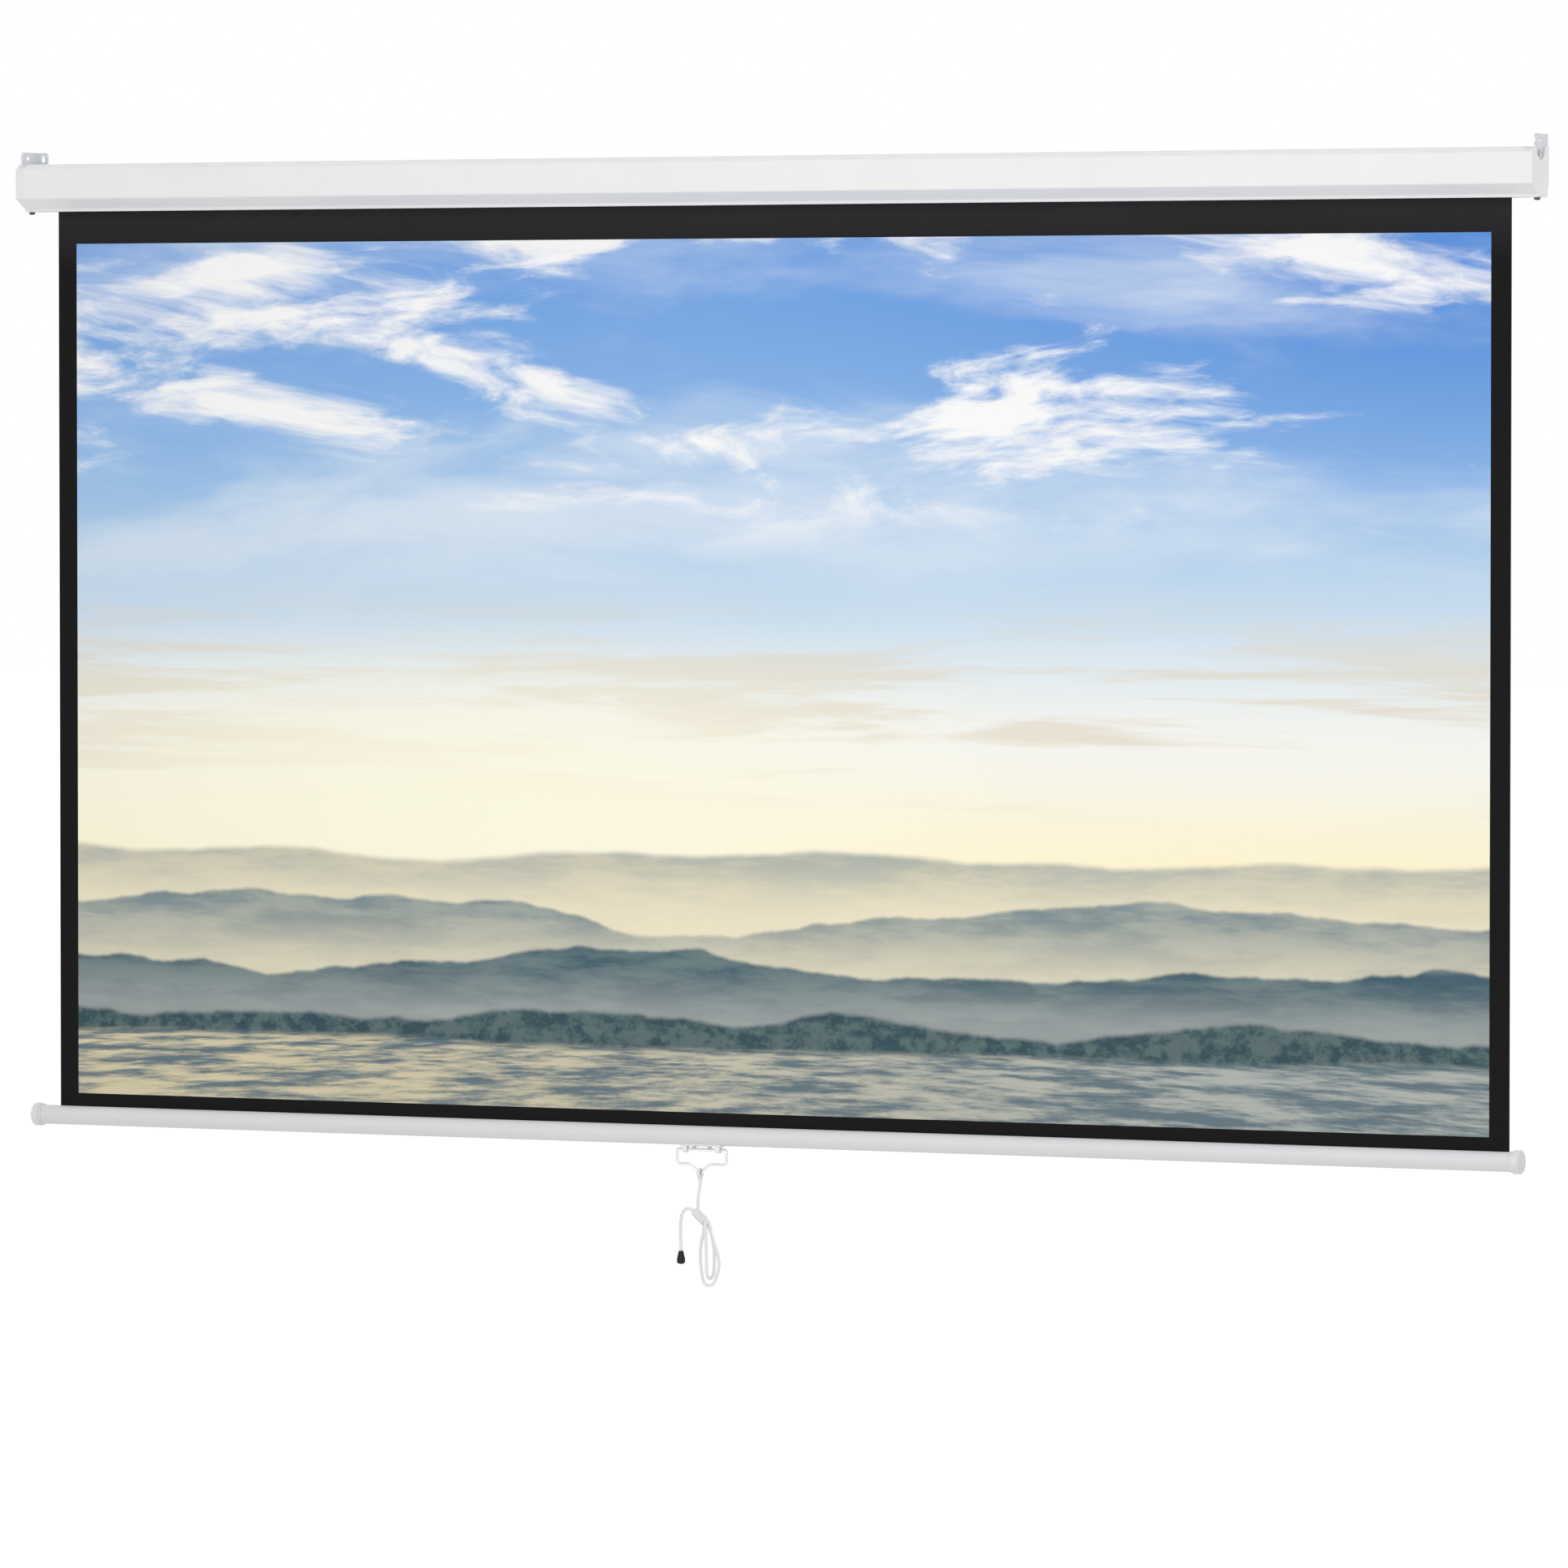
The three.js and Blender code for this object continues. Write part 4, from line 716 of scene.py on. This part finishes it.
def spun_about_x(profile, axis_y, axis_z, from_x, side, steps, sweep=FULL_TURN, start=0.0):
    """Turn a closed profile of (x, radius) corners about an axis along X."""
    shape = bmesh.new()
    corners = [shape.verts.new(mm(from_x + side * x, axis_y, axis_z + radius)) for x, radius in profile]
    edges = [shape.edges.new(pair) for pair in zip(corners, corners[1:])]
    whole = sweep == FULL_TURN
    geometry = corners + edges
    if not whole:
        geometry.append(shape.faces.new(corners))
        geometry.append(shape.edges.get((corners[-1], corners[0])))
    centre = mm(from_x, axis_y, axis_z)
    bmesh.ops.rotate(shape, verts=corners, cent=centre, matrix=Matrix.Rotation(start, 3, "X"))
    bmesh.ops.spin(shape, geom=geometry, cent=centre, axis=(1, 0, 0), angle=sweep, steps=steps,
                   use_merge=whole, use_normal_flip=False, use_duplicate=False)
    bmesh.ops.remove_doubles(shape, verts=shape.verts, dist=0.001 * MM)
    bmesh.ops.recalc_face_normals(shape, faces=shape.faces)
    return shape


cap_profile = [(0.3, 0), (0.3, 14.4), (0.7, 15.2), (3.9, 15.2), (4.3, 14.9), (4.3, 16.2), (4.8, 16.75),
               (12.7, 16.75), (13.7, 16.55), (14.54, 15.99), (15.1, 15.15), (15.3, 14.15), (15.3, 0)]
plug_profile = [(-12, 10.5), (-12, 12.5), (0.5, 12.5), (0.5, 10.5)]
plug_sweep, plug_start = radians(300), radians(30)
for side, label in ((-1, "left"), (1, "right")):
    end_x = bar_x + side * bar_half
    cap = spun_about_x(cap_profile, sheet_y, bar_z, end_x, side, steps=96)
    finished(f"{label}_bar_cap_turned", cap, f"{label}_bar_cap", bar_cap_plastic)
    plug = spun_about_x(plug_profile, sheet_y, bar_z, end_x, side, 60, plug_sweep, plug_start)
    finished(f"{label}_bar_cap_plug", plug, f"{label}_bar_cap", bar_cap_plastic, hides=False)

# %% [markdown]
# The pull handle is one bright plated wire, bent round to meet itself inside the clip, with a dip for the
# cord. A Bezier curve follows the same bends: two points at each corner, with handles that reach two thirds
# of the way to it, and a round bevel for its thickness. A swept mesh would do as well, but a curve keeps its
# seven corners readable.

# %% Pull handle
pivot = mm(-93.5, -19, -1379.7)
wire_radius = 2.3
# Each corner of the wire is (x, z, bend) in millimetres from the pivot.
bend_corners = [(39, 0, 5), (39, -21, 5), (11.5, -21, 5), (-3, -35.5, 8), (-17.5, -21, 5), (-39, -21, 5),
                (-39, 0, 5)]
wire_data = bpy.data.curves.new("pull_handle_wire", "CURVE")
wire_data.dimensions = "3D"
wire_data.bevel_depth = wire_radius * MM
wire_data.bevel_resolution = 6
wire_data.resolution_u = 10
spline = wire_data.splines.new("BEZIER")
spline.use_cyclic_u = True
spline.bezier_points.add(2 * len(bend_corners) - 1)
places = [pivot + mm(x, 0, z) for x, z, bend in bend_corners]
for i, (x, z, bend) in enumerate(bend_corners):
    here, before, after = places[i], places[i - 1], places[(i + 1) % len(places)]
    into = here + (before - here).normalized() * bend * MM
    out = here + (after - here).normalized() * bend * MM
    first, second = spline.bezier_points[2 * i], spline.bezier_points[2 * i + 1]
    for point in (first, second):
        point.handle_left_type = point.handle_right_type = "FREE"
    first.co, first.handle_right = into, into.lerp(here, 2 / 3)
    second.co, second.handle_left = out, out.lerp(here, 2 / 3)
    first.handle_left = into.lerp(before, 0.2)
    second.handle_right = out.lerp(after, 0.2)
wire = in_scene("pull_handle_wire", wire_data)
wire.data.materials.append(plated_wire)
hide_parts("pull_handle")
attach(wire, "handle")
rounded_copy("handle_clip", "moulded", clip_plastic, 0.4)
print("pull handle:", len(bend_corners), "bends")

# %% [markdown]
# The cord is braided, 4.6 mm thick and limp. It is hitched to the handle's dip and drops to a wrap, beyond
# which it hangs as two loops and a tail with a black tip. A bevelled curve can't carry a braid, so each
# stretch is a tube swept along its own places: small diamonds stand up a tenth of a millimetre, and painted
# shade darkens the valleys between finer strands. The CAD's solids follow the same places.

# %% Cord finish
white_cord, tree, shader = new_finish("braided_white_cord", Roughness=0.78, Sheen_Weight=0.25)
cord_uv = parts_of(tree, add_node(tree, "UVMap", uv_map="cord").outputs[0])
along, around = cord_uv["X"], cord_uv["Y"]
strands, diamonds, lean = 8.0, 6, 1300.0


def strand_height(sign):
    """The strands that lean one way round the cord, from -1 to 1."""
    turn = sum_of(tree, "MULTIPLY", around, strands * FULL_TURN)
    slope = sum_of(tree, "MULTIPLY", along, sign * lean * 2)
    return sum_of(tree, "COSINE", sum_of(tree, "ADD", turn, slope))


crossing = sum_of(tree, "MAXIMUM", strand_height(1), strand_height(-1))
# Painted shade: the valleys between the strands are darkened.
painted_valley_shade = ramp(tree, crossing, -1.0, 1.0, 0.5, 0.0)
tinted = group_with(tree, mottle, {"Color": colour(240, 240, 244), "Scale": 60.0, "Amount": 0.08})
tree.links.new(blend_of(tree, painted_valley_shade, tinted["Color"], colour(206, 206, 213)), shader["Base Color"])
tree.links.new(bump_of(tree, crossing, 0.7, 0.12), shader["Normal"])
print("braided cord:", len(tree.nodes), "nodes")

# %% Swept cord
cord_radius, cord_spacing, cord_sides = 2.3, 0.8, 24
apex = mm(-96.5, -19, -1412.37)


def smooth_route(points, spacing):
    """Places about one spacing apart on a smooth curve through the points, all in metres."""
    ends = [points[0] * 2 - points[1]] + list(points) + [points[-1] * 2 - points[-2]]
    route = []
    for i in range(1, len(ends) - 2):
        p0, p1, p2, p3 = ends[i - 1:i + 3]
        t1 = (p1 - p0).length ** 0.5
        t2 = t1 + (p2 - p1).length ** 0.5
        t3 = t2 + (p3 - p2).length ** 0.5
        steps = max(2, round((p2 - p1).length / spacing))
        for j in range(steps):
            t = t1 + (t2 - t1) * j / steps
            a = p0.lerp(p1, t / t1)
            b = p1.lerp(p2, (t - t1) / (t2 - t1))
            c = p2.lerp(p3, (t - t2) / (t3 - t2))
            d = a.lerp(b, t / t2)
            e = b.lerp(c, (t - t1) / (t3 - t1))
            route.append(d.lerp(e, (t - t1) / (t2 - t1)))
    route.append(points[-1].copy())
    return route


def length_of(route):
    """The length of a route, in metres."""
    return sum((b - a).length for a, b in zip(route, route[1:]))


def swept_cord(route, radius, braid=0.09, sides=cord_sides):
    """A tube along a route, with a braid of small diamonds and a UV map named cord."""
    shape = bmesh.new()
    layer = shape.loops.layers.uv.new("cord")
    across = (route[1] - route[0]).normalized().orthogonal().normalized()
    travelled = 0.0
    rings = []
    for i, place in enumerate(route):
        before, after = route[max(i - 1, 0)], route[min(i + 1, len(route) - 1)]
        tangent = (after - before).normalized()
        across = (across - tangent * across.dot(tangent)).normalized()
        other = tangent.cross(across)
        if i:
            travelled += (place - route[i - 1]).length
            edges = [shape.edges.get((ring[j - 1], ring[j])) for j in range(sides)]
            drawn = bmesh.ops.extrude_edge_only(shape, edges=edges)["geom"]
            linked = {edge.other_vert(v): v for v in verts_of(drawn) for edge in v.link_edges
                      if edge.other_vert(v) in ring}
            ring = [linked[v] for v in ring]
        else:
            ring = bmesh.ops.create_circle(shape, segments=sides, radius=radius * MM)["verts"]
        rings.append((ring, travelled))
        for j, vert in enumerate(ring):
            angle = FULL_TURN * j / sides
            rise = max(cos(diamonds * angle + travelled * lean),
                       cos(diamonds * angle - travelled * lean))
            reach = (radius + braid * (rise - 0.6)) * MM
            vert.co = place + (across * cos(angle) + other * sin(angle)) * reach
    for end_ring in (rings[0][0], rings[-1][0]):
        shape.faces.new(end_ring)
    where = {vert: (distance, j / sides) for ring, distance in rings for j, vert in enumerate(ring)}
    for face in shape.faces:
        places = [where[loop.vert] for loop in face.loops]
        turns = [turn for distance, turn in places]
        wraps = max(turns) - min(turns) > 0.5
        for loop, (distance, turn) in zip(face.loops, places):
            loop[layer].uv = (distance, turn + 1 if wraps and turn < 0.5 else turn)
    bmesh.ops.recalc_face_normals(shape, faces=shape.faces)
    return shape


def cord_piece(name, shape, node, hides=True):
    """A piece with the cord's finish."""
    return finished(name, shape, node, white_cord, hides, sharp=60)


def cord_stretch(name, points, node, extend_start=0.0, extend_end=0.0):
    """One stretch of cord through points in millimetres from the handle's dip."""
    places = [apex + mm(*point) for point in points]
    places[0] += (places[0] - places[1]).normalized() * extend_start * MM
    places[-1] += (places[-1] - places[-2]).normalized() * extend_end * MM
    route = smooth_route(places, cord_spacing * MM)
    made = cord_piece(name, swept_cord(route, cord_radius), node)
    print(f"{name}: {length_of(route) * 1000:.1f} mm long")
    return made, route


# %% Cord stretches
drop_points = [(0, 0, -13.6), (0, 0, -16.6), (-0.8, 0, -22), (-2.2, 0, -29), (-3.1, 0, -37), (-3.4, 0, -44),
               (-3.4, 0, -50.6)]
tail_points = [(-12.7, 0, -54.4), (-13.9, 0, -53.6), (-15.9, 0, -52.7), (-18.7, 0, -52.2), (-22, 0, -52.9),
               (-24.8, 0, -54.6), (-27, 0, -57.2), (-29, 0, -62), (-30.3, 0, -69), (-31, 0, -79),
               (-31, 0, -91), (-30.7, 0, -102), (-30.3, 0, -107.5), (-30.2, 0, -112.6)]
outer_loop_points = [(6.4, 0, -75), (6.2, 0, -80), (4.6, 0, -89.5), (1.4, 0, -102), (0.2, 0, -116),
                     (1, 0, -132), (2.9, 0, -146), (4.9, 0, -154.8), (7.1, 0, -158.3), (10.6, 0, -160.5),
                     (13.9, 0, -161.1), (17.2, 0, -160.5), (20.7, 0, -158.3), (22.9, 0, -155),
                     (26.6, 0, -146), (29.3, 0, -136), (29.6, 0, -126), (27.2, 0, -115), (22.6, 0, -102.5),
                     (17.9, 0, -88.2), (16, 0, -80), (15.4, 0, -76.3), (14.7, 0, -73.3), (13.4, 0, -70.6),
                     (11.6, 0, -68.6), (9.4, 0, -66.8)]
inner_loop_points = [(8.2, -1.8, -68.2), (9.6, -2.9, -70.8), (10.4, -3.8, -73.8), (10.9, -4.8, -78.4),
                     (12, -6.6, -90), (13.4, -8.4, -104), (14.2, -9.2, -120), (14.5, -9.4, -132),
                     (14.6, -9.3, -141.5), (14.9, -8, -146.2), (15.4, -4.6, -149.6), (15.9, 0, -150.8),
                     (16.4, 4.6, -149.6), (16.9, 8, -146.2), (17.2, 9.3, -141.5), (17.8, 9.4, -132),
                     (18.2, 9.2, -120), (17.4, 8.4, -104), (15, 6.6, -90), (12, 4.9, -78.6),
                     (10.8, 3.8, -73.8), (9.8, 2.9, -70.8), (8.4, 1.8, -68.2)]
drop, drop_route = cord_stretch("cord_drop", drop_points, "pull_cord", 1, 4)
tail, tail_route = cord_stretch("cord_tail_braided", tail_points, "cord_tail", 6, 0.5)
outer_loop, outer_route = cord_stretch("cord_outer_loop_braided", outer_loop_points, "cord_outer_loop", 4, 4)
inner_loop, inner_route = cord_stretch("cord_inner_loop_braided", inner_loop_points, "cord_inner_loop",
                                       2.5, 2.5)

# %% [markdown]
# The torsion spring is round wire wound with open coils round the fixed rod, between the ratchet's plug and
# the hub. A Screw modifier would give even coils, but real ones close up at both ends, so the tube is swept
# like a cord, without a braid, along a helix that slows down there.

# %% Torsion spring
spring_low, spring_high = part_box("torsion_spring")
spring_radius, spring_wire = 8.5, 0.9
spring_turns, spring_steps, spring_sides = 24, 28, 10
spring_length = spring_high[0] - spring_low[0]
straight_share = 2 * spring_wire * MM / spring_length
slow_share = 0.5 / spring_turns


def wound_share(share):
    """How much of the winding is done after a share of the length, slower at both ends."""
    rate = 1 / (1 - slow_share)
    if share < slow_share:
        return rate * share * share / (2 * slow_share)
    if share > 1 - slow_share:
        return 1 - rate * (1 - share) ** 2 / (2 * slow_share)
    return rate * (share - slow_share / 2)


spring_route = []
for i in range(spring_turns * spring_steps + 1):
    share = i / (spring_turns * spring_steps)
    wound_part = min(max((share - straight_share) / (1 - 2 * straight_share), 0), 1)
    angle = FULL_TURN * spring_turns * wound_share(wound_part)
    y, z = on_circle(roller_y, roller_z, spring_radius, angle)
    spring_route.append(Vector((spring_high[0] - share * spring_length, y * MM, z * MM)))
spring = swept_cord(spring_route, spring_wire, braid=0.0, sides=spring_sides)
finished("torsion_spring_wound", spring, "torsion_spring", spring_steel, sharp=60)

# %% [markdown]
# The wrap is the cord itself wound tightly round the bundle, wider towards its lower end, with both ends
# tucked in. The hitch is a ring of cord round the wire with a small knot under it, pulled tight. Real knots
# are hard to follow strand by strand at this size, and a helix on a sloping axis reads the same.

# %% Wrap and hitch
tuck_share = 0.08


def helix(origin, axis, length, start_radius, end_radius, turns, tuck=0.0, steps=40):
    """Places on a helix along an axis, whose ends may dip towards the axis by a share."""
    axis = axis.normalized()
    first = axis.orthogonal().normalized()
    second = axis.cross(first)
    places = []
    count = round(turns * steps)
    for i in range(count + 1):
        share = i / count
        near_end = min(share, 1 - share) / tuck_share
        dip = 1 - tuck * (1 - min(near_end, 1)) ** 2
        radius = (start_radius + (end_radius - start_radius) * share) * dip
        angle = FULL_TURN * turns * share
        places.append(origin + axis * length * share * MM
                      + (first * cos(angle) + second * sin(angle)) * radius * MM)
    return places


wound_radius, knot_radius, tight_braid = 2.28, 1.9, 0.05
wrap_lean, wrap_inset = radians(40), 2.3
wrap_place = apex + mm(-11.5, 0, -53.5)
wrap_axis = Vector((cos(wrap_lean), 0, -sin(wrap_lean)))
wrap_start = wrap_place + wrap_axis * wrap_inset * MM
wrap_route = helix(wrap_start, wrap_axis, 23.4, start_radius=4.0, end_radius=5.3, turns=5.1, tuck=0.9)
wrap = cord_piece("cord_wrap_wound", swept_cord(wrap_route, wound_radius, tight_braid), "cord_wrap")
core_profile = [(2.2, 0), (2.2, 2.3), (27.5, 3.6), (27.5, 0)]
core = spun_about_x(core_profile, 0, 0, 0, 1, steps=40)
bmesh.ops.rotate(core, verts=core.verts, cent=(0, 0, 0), matrix=Matrix.Rotation(wrap_lean, 3, "Y"))
bmesh.ops.translate(core, verts=core.verts, vec=wrap_place)
core.loops.layers.uv.new("cord")
core_piece = cord_piece("cord_wrap_core", core, "cord_wrap", hides=False)

ring_route = []
ring_steps, ring_radius = 64, 5.6
for i in range(ring_steps):
    angle = FULL_TURN * i / (ring_steps - 1)
    ring_route.append(apex + mm(0.5 * cos(angle / 2), ring_radius * sin(angle),
                                -0.7 - ring_radius * cos(angle)))
ring = cord_piece("cord_hitch_ring", swept_cord(ring_route, cord_radius, 0.06), "cord_hitch")
knot_route = helix(apex + mm(0, 0, -7.4), Vector((0, 0, -1)), 4.2, start_radius=1.75, end_radius=1.75,
                   turns=1.9, tuck=0.6)
knot_shape = swept_cord(knot_route, knot_radius, tight_braid)
knot = cord_piece("cord_hitch_knot", knot_shape, "cord_hitch", hides=False)

# %% [markdown]
# The tip is a black moulded bell, pushed over the end of the cord. A turned profile gives it a short neck,
# a step, and a rounded foot, where a plain cone would look unfinished.

# %% Cord tip
tip_top = apex + mm(-30.2, 0, -112.9)
tip_profile = [(0, 0), (0, 3.1), (0.5, 3.6), (1.6, 3.75), (2.0, 4.05), (4.4, 4.35), (7.2, 4.95),
               (10.4, 5.75), (13.2, 6.1), (15.2, 6.1), (16.9, 5.6), (18.0, 4.6), (18.7, 3.2), (19, 1.6),
               (19, 0)]
tip_shape = spun_about_x(tip_profile, 0, 0, 0, 1, steps=64)
turn_down = Matrix.Rotation(radians(90), 3, "Y")
bmesh.ops.rotate(tip_shape, verts=tip_shape.verts, cent=(0, 0, 0), matrix=turn_down)
bmesh.ops.translate(tip_shape, verts=tip_shape.verts, vec=tip_top)
tip = finished("cord_tip_moulded", tip_shape, "cord_tip", tip_plastic)

# %% [markdown]
# A rope solver would need the cord's real length, thickness, limpness and what it ends in, and the places
# that it follows. Here each stretch is only listed with its places, its far end and the pieces at it, and the
# count of its places is printed.

# %% Cord facts
for stretch, route, far_end, pieces in (
        (drop, drop_route, "knot", [ring, knot, wrap, core_piece]), (tail, tail_route, "fitting", [tip]),
        (outer_loop, outer_route, "knot", []), (inner_loop, inner_route, "knot", [])):
    print(f"{stretch.name}: declared, {len(route)} places")

# %% [markdown]
# The floor is a wide pale plane, far below, because the screen hangs from a wall or a ceiling. It adds a
# little white for camera and mirror rays, so that it meets the surround without an edge, and its faint warmth
# balances the blue that the picture throws on the casing. A curved backdrop would reflect unevenly.

# %% Floor
floor_shape = bmesh.new()
floor_half_width, floor_height, floor_lift = 60, -2.35, 0.42
bmesh.ops.create_grid(floor_shape, x_segments=1, y_segments=1, size=floor_half_width)
bmesh.ops.translate(floor_shape, verts=floor_shape.verts, vec=(0, 0, floor_height))
floor_mesh = bpy.data.meshes.new("floor")
floor_shape.to_mesh(floor_mesh)
floor_shape.free()
floor = in_scene("floor", floor_mesh)
pale_floor = bpy.data.materials.new("pale_floor")
pale_floor.use_nodes = True
tree = pale_floor.node_tree
tree.nodes.clear()
matt = add_node(tree, "BsdfDiffuse", {"Color": (0.95, 0.92, 0.87, 1)})
lifted = sum_of(tree, "MULTIPLY", ray_is_seen(tree), floor_lift)
lift = add_node(tree, "Emission", {"Color": (0.85, 0.9, 1.0, 1), "Strength": lifted})
both = add_node(tree, "AddShader", {0: matt.outputs[0], 1: lift.outputs[0]})
add_node(tree, "OutputMaterial", {"Surface": both.outputs[0]})
floor_mesh.materials.append(pale_floor)
print("floor at", floor_height)

# %% Finish
bpy.context.scene.view_settings.view_transform = "Standard"
bpy.context.view_layer.update()
